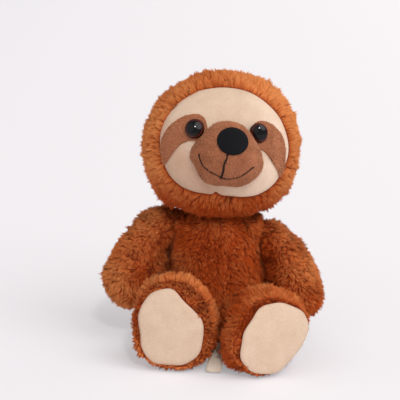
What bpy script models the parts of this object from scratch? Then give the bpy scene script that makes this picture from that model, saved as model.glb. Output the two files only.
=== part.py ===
"""Seated plush sloth, 224 mm tall: fur covers, stuffings, sewn face and soles, with turning
neck, shoulders and hips.

Metres, +Z up. The toy faces -Y, so its own left is +X. The origin is the middle of the flat
seat under the body, on the surface that the toy sits on.
"""

from math import atan2, cos, pi, radians, sin, sqrt

import bmesh
import bpy
from mathutils import Euler, Matrix, Vector

MM = 0.001

# Fabrics, threads and the clearances between pieces
FUR_WALL = 3.5 * MM
VELBOA_WALL = 2.0 * MM
PATCH_WALL = 1.0 * MM
SEAM_GAP = 0.3 * MM
FILL_GAP = 0.5 * MM
BALL_GAP = 0.8 * MM
DRAW_THREAD_RADIUS = 0.9 * MM
THREAD_GROOVE_RADIUS = 1.3 * MM
CUT_OVERRUN = 60 * MM
FLOOR_CUT_DEPTH = 0.5 * MM
FLOOR_TOOL_SIZE = 600 * MM
SMOOTH_ANGLE = radians(40)

# Head, in its own frame: X to the toy's left, -Y forward, Z up
HEAD_HALF_WIDTH = 61 * MM
HEAD_HALF_DEPTH = 51 * MM
HEAD_HALF_HEIGHT = 56.7 * MM
HEAD_ROUNDNESS = 2.15
HEAD_FROM_NECK = Vector((3 * MM, -8 * MM, 71.7 * MM))
HEAD_TILT_BACK = radians(14)
HEAD_TURN = radians(5.5)
HEAD_LEAN = radians(7)
HEAD_FILL_GAP = 1.0 * MM
FACE_TOOL_BACK = -10 * MM

# Neck: a round-topped collar on the body turns in a hollow of the head
NECK_PIVOT_DROP = 10 * MM
NECK_RADIUS = 30 * MM
NECK_THREAD_ANGLE = radians(40)
NECK_DOME_START = radians(68)

# Face panel, patches, muzzle, nose and eyes, in the head's frame
FACE_INSET = 2.2 * MM
FACE_HALF_WIDTH = 51.3 * MM
FACE_HALF_HEIGHT = 43.5 * MM
PATCH_REACH = 50.5 * MM
PATCH_TOP = 19 * MM
PATCH_MIDDLE = Vector((32.3 * MM, 3.4 * MM))
MUZZLE_HALF_WIDTH = 28.3 * MM
MUZZLE_HALF_HEIGHT = 24.5 * MM
MUZZLE_DROP = 9 * MM
MUZZLE_HEIGHT = 20 * MM
MUZZLE_FULLNESS = 2.6
MUZZLE_PEAK_DROP = 5 * MM
MUZZLE_WALL = 1.6 * MM
NOSE_HALF_WIDTH = 12 * MM
NOSE_HALF_HEIGHT = 10.5 * MM
NOSE_THICKNESS = 4.2 * MM
NOSE_RIM = 1.05 * MM
NOSE_SIDE = 1.5 * MM
NOSE_RISE = 0.3 * MM
EYE_RADIUS = 7.5 * MM
EYE_DOME = 4.6 * MM
EYE_RIM = 1.2 * MM
EYE_SPREAD = 24 * MM
EYE_SIDE = -1.6 * MM
EYE_RISE = 8.35 * MM
EYE_SLANT = 0.85 * MM
EYE_STEM_RADIUS = 2.0 * MM
EYE_STEM_LENGTH = 12 * MM
WASHER_RADIUS = 7 * MM
WASHER_THICKNESS = 1.6 * MM
WASHER_SETBACK = 4.4 * MM

# Body: an upright barrel that swells at the belly
BODY_SHOULDER_HEIGHT = 105 * MM
NECK_PIVOT_HEIGHT = BODY_SHOULDER_HEIGHT - NECK_PIVOT_DROP
BODY_HALF_WIDTH = 37 * MM
BODY_HALF_DEPTH = 36 * MM
BODY_SQUARENESS = 2.5
PELLET_BAG_HALF = Vector((22 * MM, 15 * MM, 10 * MM))
PELLET_BAG_CENTRE = Vector((0, 10 * MM, 17 * MM))
PELLET_BAG_ROUNDNESS = 2.4
PELLET_BAG_MOUTH_RADIUS = 7.5 * MM
LABEL_WIDTH = 12 * MM
LABEL_LENGTH = 44 * MM
LABEL_THICKNESS = 0.8 * MM
LABEL_LIFT = 1.2 * MM
LABEL_SIDE = -1.5 * MM
LABEL_ANGLE = radians(-6)

# Arms: a ball at the shoulder, then a swelling limb that ends in a round paw
ARM_ROOT_RADIUS = 19 * MM
LEFT_ARM_LENGTH = 66 * MM
RIGHT_ARM_LENGTH = 71 * MM
ARM_SWELL = 36 * MM
ARM_HALF_WIDTH = 25.5 * MM
LEFT_ARM_HALF_DEPTH = 22 * MM
RIGHT_ARM_HALF_DEPTH = 24.5 * MM
ARM_PINCH_ANGLE = radians(60)
LEFT_SHOULDER_SPREAD = 47 * MM
RIGHT_SHOULDER_SPREAD = 49 * MM
LEFT_SHOULDER_DROP = 21.5 * MM
RIGHT_SHOULDER_DROP = 11.5 * MM
LEFT_ARM_SPLAY = radians(26)
RIGHT_ARM_SPLAY = radians(24)
LEFT_ARM_FORWARD = radians(3)
RIGHT_ARM_FORWARD = radians(-3)
SHOULDER_THREAD_ANGLE = radians(12)
ARM_FILL_HOLE_RADIUS = 7 * MM
ARM_DRAWN_IN = (0, 1.5)

# Legs: a ball at the hip, then a swelling foot with a flat oval sole
LEG_ROOT_RADIUS = 22 * MM
LEFT_LEG_LENGTH = 55 * MM
RIGHT_LEG_LENGTH = 44 * MM
LEG_SWELL = 33 * MM
LEG_PINCH_ANGLE = radians(50)
FOOT_HALF_WIDTH = 30.2 * MM
FOOT_HALF_HEIGHT = 36.6 * MM
FOOT_SQUARENESS = 2.3
FOOT_RIM_SHARE = 0.93
SOLE_HALF_WIDTH = 25.3 * MM
SOLE_HALF_HEIGHT = 31.2 * MM
SOLE_SQUARENESS = 2.2
SOLE_THICKNESS = 2.4 * MM
SOLE_DOME = 2.6 * MM
LEG_DRAWN_IN = (1, 1)
HIP_SPREAD = 27 * MM
LEFT_HIP_FORWARD = 35 * MM
RIGHT_HIP_FORWARD = 32 * MM
HIP_HEIGHT = 25 * MM
LEFT_LEG_TURN = radians(16)
RIGHT_LEG_TURN = radians(-10)
LEFT_FOOT_TWIST = radians(-36)
RIGHT_FOOT_TWIST = radians(8)
LEFT_FOOT_RISE = 9 * MM
RIGHT_FOOT_RISE = 12 * MM

# How finely round forms are divided
SKIN_SEGMENTS = 32
SKIN_RINGS = 16
FILL_SEGMENTS = 20
FILL_RINGS = 10
BALL_SEGMENTS = 24
BALL_RINGS = 12
LIMB_SEGMENTS = 22
LIMB_FILL_SEGMENTS = 16
LIMB_ROOT_RINGS = 4
LIMB_SWELL_RINGS = 4
LIMB_TIP_RINGS = 4
THREAD_SEGMENTS = 20
THREAD_SIDE_SEGMENTS = 6
FACE_SEGMENTS = 38
MUZZLE_SEGMENTS = 24
PATCH_SEGMENTS = 22
SMALL_SEGMENTS = 16
SMALL_RINGS = 4
BAG_RINGS = 8
DOME_RINGS = 5
FACE_RINGS = 6
PATCH_RINGS = 3

COLOURS = {
    "fur": (0.36, 0.105, 0.028),
    "face": (0.74, 0.56, 0.42),
    "patch": (0.40, 0.165, 0.085),
    "nose": (0.012, 0.011, 0.013),
    "eye": (0.02, 0.012, 0.010),
    "stuffing": (0.86, 0.86, 0.84),
    "pellets": (0.62, 0.63, 0.62),
    "thread": (0.20, 0.06, 0.02),
    "label": (0.44, 0.36, 0.30),
}


def material(name, colour, roughness, metallic=0.0):
    """One Principled material, shared by the pieces made of the same stuff."""
    found = bpy.data.materials.get(name)
    if found:
        return found
    made = bpy.data.materials.new(name)
    made.use_nodes = True
    shader = made.node_tree.nodes["Principled BSDF"]
    shader.inputs["Base Color"].default_value = (*COLOURS[colour], 1)
    shader.inputs["Roughness"].default_value = roughness
    shader.inputs["Metallic"].default_value = metallic
    return made


def fur_material():
    return material("long_pile_fur", "fur", 0.95)


def velboa_material():
    return material("beige_velboa", "face", 0.9)


def patch_material():
    return material("brown_velboa", "patch", 0.9)


def stuffing_material():
    return material("polyester_fibre", "stuffing", 1.0)


def thread_material():
    return material("draw_thread", "thread", 0.8)


def placed(name, mesh, finish, parent=None):
    """A new object of this mesh, smooth shaded, under a parent empty if it has one."""
    made = bpy.data.objects.new(name, mesh)
    bpy.context.scene.collection.objects.link(made)
    made.parent = parent
    if finish:
        mesh.materials.append(finish)
    mesh.shade_smooth()
    mesh.set_sharp_from_angle(angle=SMOOTH_ANGLE)
    return made


def pivot(name, location, rotation=None, parent=None):
    """An empty on a joint's axis, which carries the pieces that turn there."""
    made = bpy.data.objects.new(name, None)
    bpy.context.scene.collection.objects.link(made)
    made.parent = parent
    made.location = location
    if rotation:
        made.rotation_mode = "QUATERNION"
        made.rotation_quaternion = rotation
    return made


def ringed_mesh(name, rings):
    """A closed skin over rings of points, where one point is a pole and other ends get a flat cap."""
    shape = bmesh.new()
    rows = [[shape.verts.new(point) for point in ring] for ring in rings]
    for lower, upper in zip(rows, rows[1:]):
        count = max(len(lower), len(upper))
        for i in range(count):
            j = (i + 1) % count
            if len(lower) == 1:
                shape.faces.new((lower[0], upper[j], upper[i]))
            elif len(upper) == 1:
                shape.faces.new((lower[i], lower[j], upper[0]))
            else:
                shape.faces.new((lower[i], lower[j], upper[j]))
                shape.faces.new((lower[i], upper[j], upper[i]))
    if len(rows[0]) > 1:
        shape.faces.new(reversed(rows[0]))
    if len(rows[-1]) > 1:
        shape.faces.new(rows[-1])
    bmesh.ops.recalc_face_normals(shape, faces=shape.faces)
    mesh = bpy.data.meshes.new(name)
    shape.to_mesh(mesh)
    shape.free()
    return mesh


def boolean(target, other, operation):
    step = target.modifiers.new(f"{operation.lower()} {other.name}", "BOOLEAN")
    step.operation = operation
    step.solver = "EXACT"
    step.object = other
    return target


def as_tool(tool):
    """Marks a shape that only cuts or joins others."""
    tool.hide_render = True
    tool.display_type = "WIRE"
    return tool


def cut(target, *tools):
    for tool in tools:
        boolean(target, as_tool(tool), "DIFFERENCE")
    return target


def signed_power(value, power):
    return (abs(value) ** power) * (1 if value >= 0 else -1)


def round_form(half, roundness, segments, rings):
    """Rings of a rounded box between an ellipsoid (roundness 2) and a box, pole to pole along Z."""
    power = 2 / roundness
    rows = [[Vector((0, 0, -half.z))]]
    for j in range(1, rings):
        rise = -pi / 2 + pi * j / rings
        across = signed_power(cos(rise), power)
        row = []
        for i in range(segments):
            turn = 2 * pi * i / segments
            row.append(
                Vector(
                    (
                        half.x * across * signed_power(cos(turn), power),
                        half.y * across * signed_power(sin(turn), power),
                        half.z * signed_power(sin(rise), power),
                    )
                )
            )
        rows.append(row)
    rows.append([Vector((0, 0, half.z))])
    return rows


def ball(name, radius, centre, parent=None):
    mesh = ringed_mesh(name, round_form(Vector((radius,) * 3), 2, BALL_SEGMENTS, BALL_RINGS))
    made = placed(name, mesh, None, parent)
    made.location = centre
    return made


def drum(name, radius, start, end, parent=None, segments=SMALL_SEGMENTS):
    """A plain cylinder from one point to another."""
    along = end - start
    turned = along.to_track_quat("Z", "Y").to_matrix()
    rings = []
    for base in (start, end):
        rings.append(
            [
                base + turned @ Vector((radius * cos(t), radius * sin(t), 0))
                for t in (2 * pi * i / segments for i in range(segments))
            ]
        )
    return placed(name, ringed_mesh(name, rings), None, parent)


def thread_ring_mesh(name, pivot_distance, angle, tube_radius, axis):
    """A ring of thread round an axis through a pivot, seen from the pivot at this angle to it."""
    ring_radius = pivot_distance * sin(angle)
    rise = pivot_distance * cos(angle)
    turned = axis.to_track_quat("Z", "Y").to_matrix()
    shape = bmesh.new()
    loops = []
    for i in range(THREAD_SEGMENTS):
        turn = 2 * pi * i / THREAD_SEGMENTS
        loop = []
        for k in range(THREAD_SIDE_SEGMENTS):
            tube = 2 * pi * k / THREAD_SIDE_SEGMENTS
            reach = ring_radius + tube_radius * cos(tube)
            point = Vector((reach * cos(turn), reach * sin(turn), rise + tube_radius * sin(tube)))
            loop.append(shape.verts.new(turned @ point))
        loops.append(loop)
    for i, loop in enumerate(loops):
        following = loops[(i + 1) % len(loops)]
        for k in range(THREAD_SIDE_SEGMENTS):
            m = (k + 1) % THREAD_SIDE_SEGMENTS
            shape.faces.new((loop[k], following[k], following[m], loop[m]))
    bmesh.ops.recalc_face_normals(shape, faces=shape.faces)
    mesh = bpy.data.meshes.new(name)
    shape.to_mesh(mesh)
    shape.free()
    return mesh


def smooth_loop(corners, count):
    """A closed smooth curve of this many points through the corners."""
    points = []
    total = len(corners)
    for i in range(count):
        place = i * total / count
        k = int(place)
        t = place - k
        before, start, end, after = (corners[(k + step) % total] for step in (-1, 0, 1, 2))
        points.append(
            0.5
            * (
                2 * start
                + (end - before) * t
                + (2 * before - 5 * start + 4 * end - after) * t * t
                + (3 * start - before - 3 * end + after) * t * t * t
            )
        )
    return points


def mirrored_outline(half_shares, half_width, half_height, count):
    """A closed outline, the same on both sides, from shares of its half width and half height."""
    right = [Vector((x * half_width, z * half_height)) for x, z in half_shares]
    left = [Vector((-point.x, point.y)) for point in reversed(right) if point.x > 0]
    return smooth_loop(right + left, count)


def grown(outline, margin):
    """The outline moved outward by this much along its own normals."""
    moved = []
    for i, point in enumerate(outline):
        along = outline[(i + 1) % len(outline)] - outline[i - 1]
        out = Vector((along.y, -along.x)).normalized()
        if out.dot(point - sum(outline, Vector((0, 0))) / len(outline)) < 0:
            out = -out
        moved.append(point + out * margin)
    return moved


def head_half(inset):
    return Vector((HEAD_HALF_WIDTH - inset, HEAD_HALF_DEPTH - inset, HEAD_HALF_HEIGHT - inset))


def face_depth(x, z, inset):
    """Y of the front of the head at this place, this far under its outside."""
    half = head_half(inset)
    left = 1 - abs(x / half.x) ** HEAD_ROUNDNESS - abs(z / half.z) ** HEAD_ROUNDNESS
    return -half.y * max(left, 0) ** (1 / HEAD_ROUNDNESS)


def face_normal(x, z, inset):
    half = head_half(inset)
    y = face_depth(x, z, inset)
    power = HEAD_ROUNDNESS - 1
    return Vector(
        [signed_power(value / side, power) / side for value, side in zip((x, y, z), half)]
    ).normalized()


FACE_SHARES = (
    (0, 1),
    (0.29, 0.955),
    (0.56, 0.80),
    (0.80, 0.55),
    (0.955, 0.21),
    (1, -0.10),
    (0.92, -0.44),
    (0.79, -0.70),
    (0.57, -0.885),
    (0.30, -0.95),
    (0.10, -0.915),
    (0, -0.855),
)
PATCH_SHARES = (
    (0.35, 0.72),
    (0.485, 1.0),
    (0.71, 0.83),
    (0.90, 0.34),
    (0.972, -0.35),
    (0.905, -1.12),
    (0.82, -0.86),
    (0.69, -0.48),
    (0.563, -0.20),
    (0.35, 0.05),
)
MUZZLE_SHARES = (
    (0, 1),
    (0.35, 0.90),
    (0.61, 0.62),
    (0.87, 0.22),
    (1, -0.22),
    (0.90, -0.58),
    (0.62, -0.87),
    (0.24, -0.985),
    (0, -0.97),
)


MUZZLE_BACK_SHARES = (0.66, 0.33)
NOSE_BACK_SHARES = (1, 0.67, 0.33, 0)
SOLE_SHARES = (0.4, 0.75, 1)


def face_outline():
    return mirrored_outline(FACE_SHARES, FACE_HALF_WIDTH, FACE_HALF_HEIGHT, FACE_SEGMENTS)


def muzzle_outline():
    drop = Vector((0, MUZZLE_DROP))
    drawn = mirrored_outline(
        MUZZLE_SHARES, MUZZLE_HALF_WIDTH, MUZZLE_HALF_HEIGHT, MUZZLE_SEGMENTS
    )
    return [point - drop for point in drawn]


def patch_outline(side):
    corners = [Vector((side * x * PATCH_REACH, z * PATCH_TOP)) for x, z in PATCH_SHARES]
    return smooth_loop(corners, PATCH_SEGMENTS)


def sheet_on_face(name, outline, centre, insets, steps, finish, parent):
    """Fabric of even thickness that lies on the front of the head, inside this outline."""
    outer_inset, inner_inset = insets
    rings = [[Vector((centre.x, face_depth(*centre, outer_inset), centre.y))]]
    outward, back_inward = range(1, steps + 1), range(steps, 0, -1)
    for inset, order in ((outer_inset, outward), (inner_inset, back_inward)):
        for step in order:
            places = [centre.lerp(point, step / steps) for point in outline]
            rings.append([Vector((p.x, face_depth(*p, inset), p.y)) for p in places])
    rings.append([Vector((centre.x, face_depth(*centre, inner_inset), centre.y))])
    return placed(name, ringed_mesh(name, rings), finish, parent)


def prism_over_face(name, outline, parent):
    """The outline as a straight block from in front of the face to just behind it."""
    front = -HEAD_HALF_DEPTH - CUT_OVERRUN
    rings = [[Vector((p.x, y, p.y)) for p in outline] for y in (front, FACE_TOOL_BACK)]
    return placed(name, ringed_mesh(name, rings), None, parent)


MUZZLE_PEAK = Vector((0, -MUZZLE_PEAK_DROP))


def muzzle_point(place, reach, height, inset):
    """A point of the muzzle's dome above a place on the face, at this reach from peak to edge."""
    lift = height * max(1 - reach**MUZZLE_FULLNESS, 0) ** (1 / MUZZLE_FULLNESS)
    return Vector((place.x, face_depth(*place, inset) - lift, place.y))


def muzzle_rings(outline, height, inset):
    """Rings of a dome from its peak out to its edge on the face."""
    rings = [[muzzle_point(MUZZLE_PEAK, 0, height, inset)]]
    for step in range(1, DOME_RINGS + 1):
        reach = sin(pi / 2 * step / DOME_RINGS)
        rings.append(
            [muzzle_point(MUZZLE_PEAK.lerp(p, reach), reach, height, inset) for p in outline]
        )
    return rings


def muzzle_surface(place):
    """Y of the muzzle's outside over this place."""
    off = place - MUZZLE_PEAK
    if off.length == 0:
        return muzzle_point(place, 0, MUZZLE_HEIGHT, FACE_INSET - SEAM_GAP).y
    outline = [point - MUZZLE_PEAK for point in muzzle_outline()]
    for start, end in zip(outline, outline[1:] + outline[:1]):
        across = off.x * (end - start).y - off.y * (end - start).x
        far = (start.x * end.y - start.y * end.x) / across if across else 0
        share = (start.x * off.y - start.y * off.x) / across if across else -1
        if far > 0 and 0 <= share <= 1:
            return muzzle_point(place, 1 / far, MUZZLE_HEIGHT, FACE_INSET - SEAM_GAP).y
    return face_depth(*place, FACE_INSET - SEAM_GAP)


def make_face(head):
    """The beige panel, its two brown patches, the stuffed muzzle and the nose."""
    outline = face_outline()
    panel = sheet_on_face(
        "face_panel",
        outline,
        Vector((0, 0)),
        (FACE_INSET, FACE_INSET + VELBOA_WALL),
        FACE_RINGS,
        velboa_material(),
        head,
    )
    rim = prism_over_face("face_opening", grown(outline, SEAM_GAP), head)
    muzzle_edge = muzzle_outline()
    base = FACE_INSET - SEAM_GAP
    clear = prism_over_face("muzzle_clearance", grown(muzzle_edge, SEAM_GAP), head)
    patches = []
    for side, name in ((1, "left_eye_patch"), (-1, "right_eye_patch")):
        edge = patch_outline(side)
        middle = Vector((side * PATCH_MIDDLE.x, PATCH_MIDDLE.y))
        insets = (base - PATCH_WALL, base)
        patch = sheet_on_face(
            name, edge, middle, insets, PATCH_RINGS, patch_material(), head
        )
        patches.append(cut(patch, clear))

    outer = muzzle_rings(muzzle_edge, MUZZLE_HEIGHT, base)
    inner = muzzle_rings(grown(muzzle_edge, -MUZZLE_WALL), MUZZLE_HEIGHT - MUZZLE_WALL, base)
    muzzle = placed(
        "muzzle_cover", ringed_mesh("muzzle_cover", outer + inner[::-1]), patch_material(), head
    )
    fill_edge = grown(muzzle_edge, -MUZZLE_WALL - FILL_GAP)
    fill = muzzle_rings(fill_edge, MUZZLE_HEIGHT - MUZZLE_WALL - FILL_GAP, base)
    back = []
    for share in MUZZLE_BACK_SHARES:
        row = [MUZZLE_PEAK.lerp(p, share) for p in fill_edge]
        back.append([Vector((p.x, face_depth(*p, base), p.y)) for p in row])
    back.append([Vector((MUZZLE_PEAK.x, face_depth(*MUZZLE_PEAK, base), MUZZLE_PEAK.y))])
    placed(
        "muzzle_stuffing", ringed_mesh("muzzle_stuffing", fill + back), stuffing_material(), head
    )

    nose_rings = []
    turns = [2 * pi * i / SMALL_SEGMENTS for i in range(SMALL_SEGMENTS)]
    centre = Vector((NOSE_SIDE, NOSE_RISE))

    def nose_row(reach, lift):
        row = []
        for turn in turns if reach else turns[:1]:
            across = Vector((NOSE_HALF_WIDTH * cos(turn), NOSE_HALF_HEIGHT * sin(turn)))
            place = centre + across * reach
            row.append(Vector((place.x, muzzle_surface(place) - FILL_GAP - lift, place.y)))
        return row

    for step in range(SMALL_RINGS + 1):
        angle = pi / 2 * step / SMALL_RINGS
        lift = NOSE_RIM + (NOSE_THICKNESS - NOSE_RIM) * cos(angle)
        nose_rings.append(nose_row(sin(angle), lift))
    for reach in NOSE_BACK_SHARES:
        nose_rings.append(nose_row(reach, 0))
    nose = ringed_mesh("nose", nose_rings)
    placed("nose", nose, material("black_nose_fabric", "nose", 0.85), head)
    return panel, rim, patches, muzzle


def make_eyes(head, panel, patches, muzzle, stuffing):
    """Two plastic eyes whose stems pass through the face to a lock washer in the stuffing."""
    plastic = material("glossy_plastic", "eye", 0.12)
    for side, patch, label in ((1, patches[0], "left"), (-1, patches[1], "right")):
        x, z = EYE_SIDE + side * EYE_SPREAD, EYE_RISE + side * EYE_SLANT
        seat_inset = FACE_INSET - SEAM_GAP - PATCH_WALL
        out = face_normal(x, z, seat_inset)
        seat = Vector((x, face_depth(x, z, seat_inset), z)) + out * SEAM_GAP
        spot = pivot(f"{label}_eye_seat", seat, out.to_track_quat("Z", "Y"), head)
        turns = [2 * pi * i / SMALL_SEGMENTS for i in range(SMALL_SEGMENTS)]

        def row(radius, height):
            if radius == 0:
                return [Vector((0, 0, height))]
            return [Vector((radius * cos(t), radius * sin(t), height)) for t in turns]

        rings = [row(0, EYE_DOME)]
        for step in range(1, SMALL_RINGS + 1):
            angle = pi / 2 * step / SMALL_RINGS
            height = EYE_RIM + (EYE_DOME - EYE_RIM) * cos(angle)
            rings.append(row(EYE_RADIUS * sin(angle), height))
        rings.append(row(EYE_RADIUS, 0))
        rings.append(row(EYE_STEM_RADIUS, 0))
        rings.append(row(EYE_STEM_RADIUS, -EYE_STEM_LENGTH))
        rings.append(row(0, -EYE_STEM_LENGTH))
        placed(f"{label}_eye", ringed_mesh(f"{label}_eye", rings), plastic, spot)

        bore = EYE_STEM_RADIUS + SEAM_GAP
        front = -WASHER_SETBACK
        back = front - WASHER_THICKNESS
        shape = bmesh.new()
        loops = [
            [shape.verts.new(point) for point in row(radius, height)]
            for radius, height in (
                (bore, front),
                (WASHER_RADIUS, front),
                (WASHER_RADIUS, back),
                (bore, back),
            )
        ]
        for k, loop in enumerate(loops):
            following = loops[(k + 1) % len(loops)]
            for i in range(len(turns)):
                j = (i + 1) % len(turns)
                shape.faces.new((loop[i], loop[j], following[j], following[i]))
        bmesh.ops.recalc_face_normals(shape, faces=shape.faces)
        mesh = bpy.data.meshes.new(f"{label}_eye_washer")
        shape.to_mesh(mesh)
        shape.free()
        placed(f"{label}_eye_washer", mesh, material("nylon", "pellets", 0.4), spot)

        hole = drum(
            f"{label}_stem_hole",
            bore,
            Vector((0, 0, EYE_DOME)),
            Vector((0, 0, -EYE_STEM_LENGTH - SEAM_GAP)),
            spot,
        )
        pocket = drum(
            f"{label}_washer_pocket",
            WASHER_RADIUS + SEAM_GAP,
            Vector((0, 0, front + CUT_OVERRUN)),
            Vector((0, 0, back - SEAM_GAP)),
            spot,
        )
        beside = drum(
            f"{label}_eye_room",
            EYE_RADIUS + SEAM_GAP,
            Vector((0, 0, -EYE_DOME)),
            Vector((0, 0, CUT_OVERRUN)),
            spot,
        )
        cut(muzzle, beside)
        cut(panel, hole)
        cut(patch, hole)
        cut(stuffing, hole, pocket)


def make_head(neck, neck_hollow):
    turned = Euler((-HEAD_TILT_BACK, HEAD_LEAN, HEAD_TURN), "YXZ").to_quaternion()
    head = pivot("head_frame", HEAD_FROM_NECK, turned, neck)
    panel, rim, patches, muzzle = make_face(head)
    skin = round_form(head_half(0), HEAD_ROUNDNESS, SKIN_SEGMENTS, SKIN_RINGS)
    cover = placed("head_fur_cover", ringed_mesh("head_fur_cover", skin), fur_material(), head)
    inside = round_form(head_half(FUR_WALL), HEAD_ROUNDNESS, FILL_SEGMENTS, FILL_RINGS)
    hollow = placed("head_inside", ringed_mesh("head_inside", inside), None, head)
    cut(cover, hollow, rim, neck_hollow)
    fill_inset = FACE_INSET + VELBOA_WALL + HEAD_FILL_GAP
    fill = round_form(head_half(fill_inset), HEAD_ROUNDNESS, FILL_SEGMENTS, FILL_RINGS)
    stuffing = placed(
        "head_stuffing", ringed_mesh("head_stuffing", fill), stuffing_material(), head
    )
    cut(stuffing, neck_hollow)
    make_eyes(head, panel, patches, muzzle, stuffing)


BODY_SHARES = (
    (0, 0.66, 0.60),
    (0.035, 0.80, 0.76),
    (0.11, 0.94, 0.92),
    (0.24, 1, 1),
    (0.41, 1, 1.01),
    (0.58, 0.99, 0.985),
    (0.74, 0.975, 0.94),
    (0.88, 0.965, 0.88),
    (0.96, 0.945, 0.82),
    (1, 0.875, 0.78),
)


def body_rings(inset, segments):
    """Level rings of the barrel from the seat to its shoulders, then the neck's round top."""
    power = 2 / BODY_SQUARENESS
    bottom = -FLOOR_CUT_DEPTH
    profile = []
    for height, wide, deep in BODY_SHARES:
        z = max(bottom + height * (BODY_SHOULDER_HEIGHT - bottom) - inset * height, bottom + inset)
        reach = (BODY_HALF_WIDTH * wide - inset, BODY_HALF_DEPTH * deep - inset)
        if not profile or z > profile[-1][0]:
            profile.append((z, *reach, power))
    dome = NECK_RADIUS - inset
    start = pi / 2 - NECK_DOME_START
    for step in range(DOME_RINGS + 1):
        rise = start + (pi / 2 - start) * step / DOME_RINGS
        profile.append(
            (NECK_PIVOT_HEIGHT + dome * sin(rise), dome * cos(rise), dome * cos(rise), 1)
        )
    rows = []
    turns = [2 * pi * i / segments for i in range(segments)]
    for z, reach_x, reach_y, bend in profile[:-1]:
        row = []
        for turn in turns:
            x = reach_x * signed_power(cos(turn), bend)
            y = reach_y * signed_power(sin(turn), bend)
            row.append(Vector((x, y, z)))
        rows.append(row)
    rows.append([Vector((0, 0, profile[-1][0]))])
    return rows


def body_form(name, inset, segments, finish=None):
    """The barrel and the neck's round top, under their outside by the inset."""
    return placed(name, ringed_mesh(name, body_rings(inset, segments)), finish)


def make_body(root_hollows, neck_groove, shoulder_grooves, floor):
    cover = body_form("body_fur_cover", 0, SKIN_SEGMENTS, fur_material())
    inside = body_form("body_inside", FUR_WALL, FILL_SEGMENTS)
    cut(cover, inside, *root_hollows, neck_groove, floor)
    stuffing = body_form(
        "body_stuffing", FUR_WALL + FILL_GAP, FILL_SEGMENTS, stuffing_material()
    )
    bag_form = round_form(PELLET_BAG_HALF, PELLET_BAG_ROUNDNESS, SMALL_SEGMENTS, BAG_RINGS)
    bag = placed(
        "seat_pellet_bag",
        ringed_mesh("seat_pellet_bag", bag_form),
        material("pellet_bag", "pellets", 0.9),
    )
    bag.location = PELLET_BAG_CENTRE
    room = PELLET_BAG_HALF + Vector((SEAM_GAP,) * 3)
    pocket_rings = round_form(room, PELLET_BAG_ROUNDNESS, SMALL_SEGMENTS, BAG_RINGS)
    pocket = placed("bag_pocket", ringed_mesh("bag_pocket", pocket_rings), None)
    pocket.location = PELLET_BAG_CENTRE
    mouth = drum(
        "bag_mouth",
        PELLET_BAG_MOUTH_RADIUS,
        PELLET_BAG_CENTRE,
        PELLET_BAG_CENTRE - Vector((0, 0, CUT_OVERRUN)),
    )
    cut(stuffing, *root_hollows, *shoulder_grooves, pocket, mouth)


def body_front(height):
    """How far forward the middle of the barrel reaches at this height."""
    whole = BODY_SHOULDER_HEIGHT + FLOOR_CUT_DEPTH
    share = (height + FLOOR_CUT_DEPTH) / whole
    for (low, _, before), (high, _, after) in zip(BODY_SHARES, BODY_SHARES[1:]):
        if low <= share <= high:
            place = (share - low) / (high - low)
            return BODY_HALF_DEPTH * (before + (after - before) * place)
    return BODY_HALF_DEPTH


def make_label():
    """The blank satin tag, sewn under the front of the body, which lies between the feet."""
    shape = bmesh.new()
    bmesh.ops.create_cube(shape, size=1)
    bmesh.ops.scale(shape, vec=(LABEL_WIDTH, LABEL_LENGTH, LABEL_THICKNESS), verts=shape.verts)
    mesh = bpy.data.meshes.new("blank_label")
    shape.to_mesh(mesh)
    shape.free()
    tag = placed("blank_label", mesh, material("satin_ribbon", "label", 0.5))
    corner = LABEL_WIDTH / 2 * abs(sin(LABEL_ANGLE))
    seam = body_front(LABEL_LIFT + LABEL_THICKNESS / 2) + SEAM_GAP + corner
    tag.location = (LABEL_SIDE, -seam - LABEL_LENGTH / 2, LABEL_LIFT)
    tag.rotation_euler = (0, 0, LABEL_ANGLE)


def limb_profile(shape, inset):
    """Along a limb: (place, half width and depth, the same where it is drawn in, rise share)."""
    root = shape["root"] - inset
    wide, deep = shape["half_width"] - inset, shape["half_depth"] - inset
    swell, length, tip = shape["swell"], shape["length"], shape["tip_share"]
    start = shape["root"] * cos(shape["pinch"])
    waist = sqrt(root**2 - start**2)

    def full(z):
        share = max(z / swell, 0)
        return [root + (side - root) * sin(pi / 2 * share) for side in (wide, deep)]

    rows = [(-root, (0, 0), (0, 0))]
    for step in range(1, LIMB_ROOT_RINGS + 1):
        angle = pi - pi / 2 * step / LIMB_ROOT_RINGS
        rows.append((root * cos(angle), (root * sin(angle),) * 2, (root * sin(angle),) * 2))
    rows.append((start, full(start), (waist, waist)))
    for step in range(1, LIMB_SWELL_RINGS + 1):
        z = start + (swell - start) * step / LIMB_SWELL_RINGS
        lift = sin(pi / 2 * step / LIMB_SWELL_RINGS)
        rows.append((z, full(z), [waist + (side - waist) * lift for side in (wide, deep)]))
    sweep = pi / 2 if tip == 0 else atan2(sqrt(1 - tip**2), tip)
    end = length - inset if tip == 0 else length
    if tip and inset:
        end = length - SOLE_THICKNESS - FILL_GAP
    for step in range(1, LIMB_TIP_RINGS + 1):
        angle = sweep * step / LIMB_TIP_RINGS
        across = cos(angle) if step < LIMB_TIP_RINGS or tip else 0
        half = (wide * across, deep * across)
        rows.append((swell + (end - swell) * sin(angle) / sin(sweep), half, half))
    return rows


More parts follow.
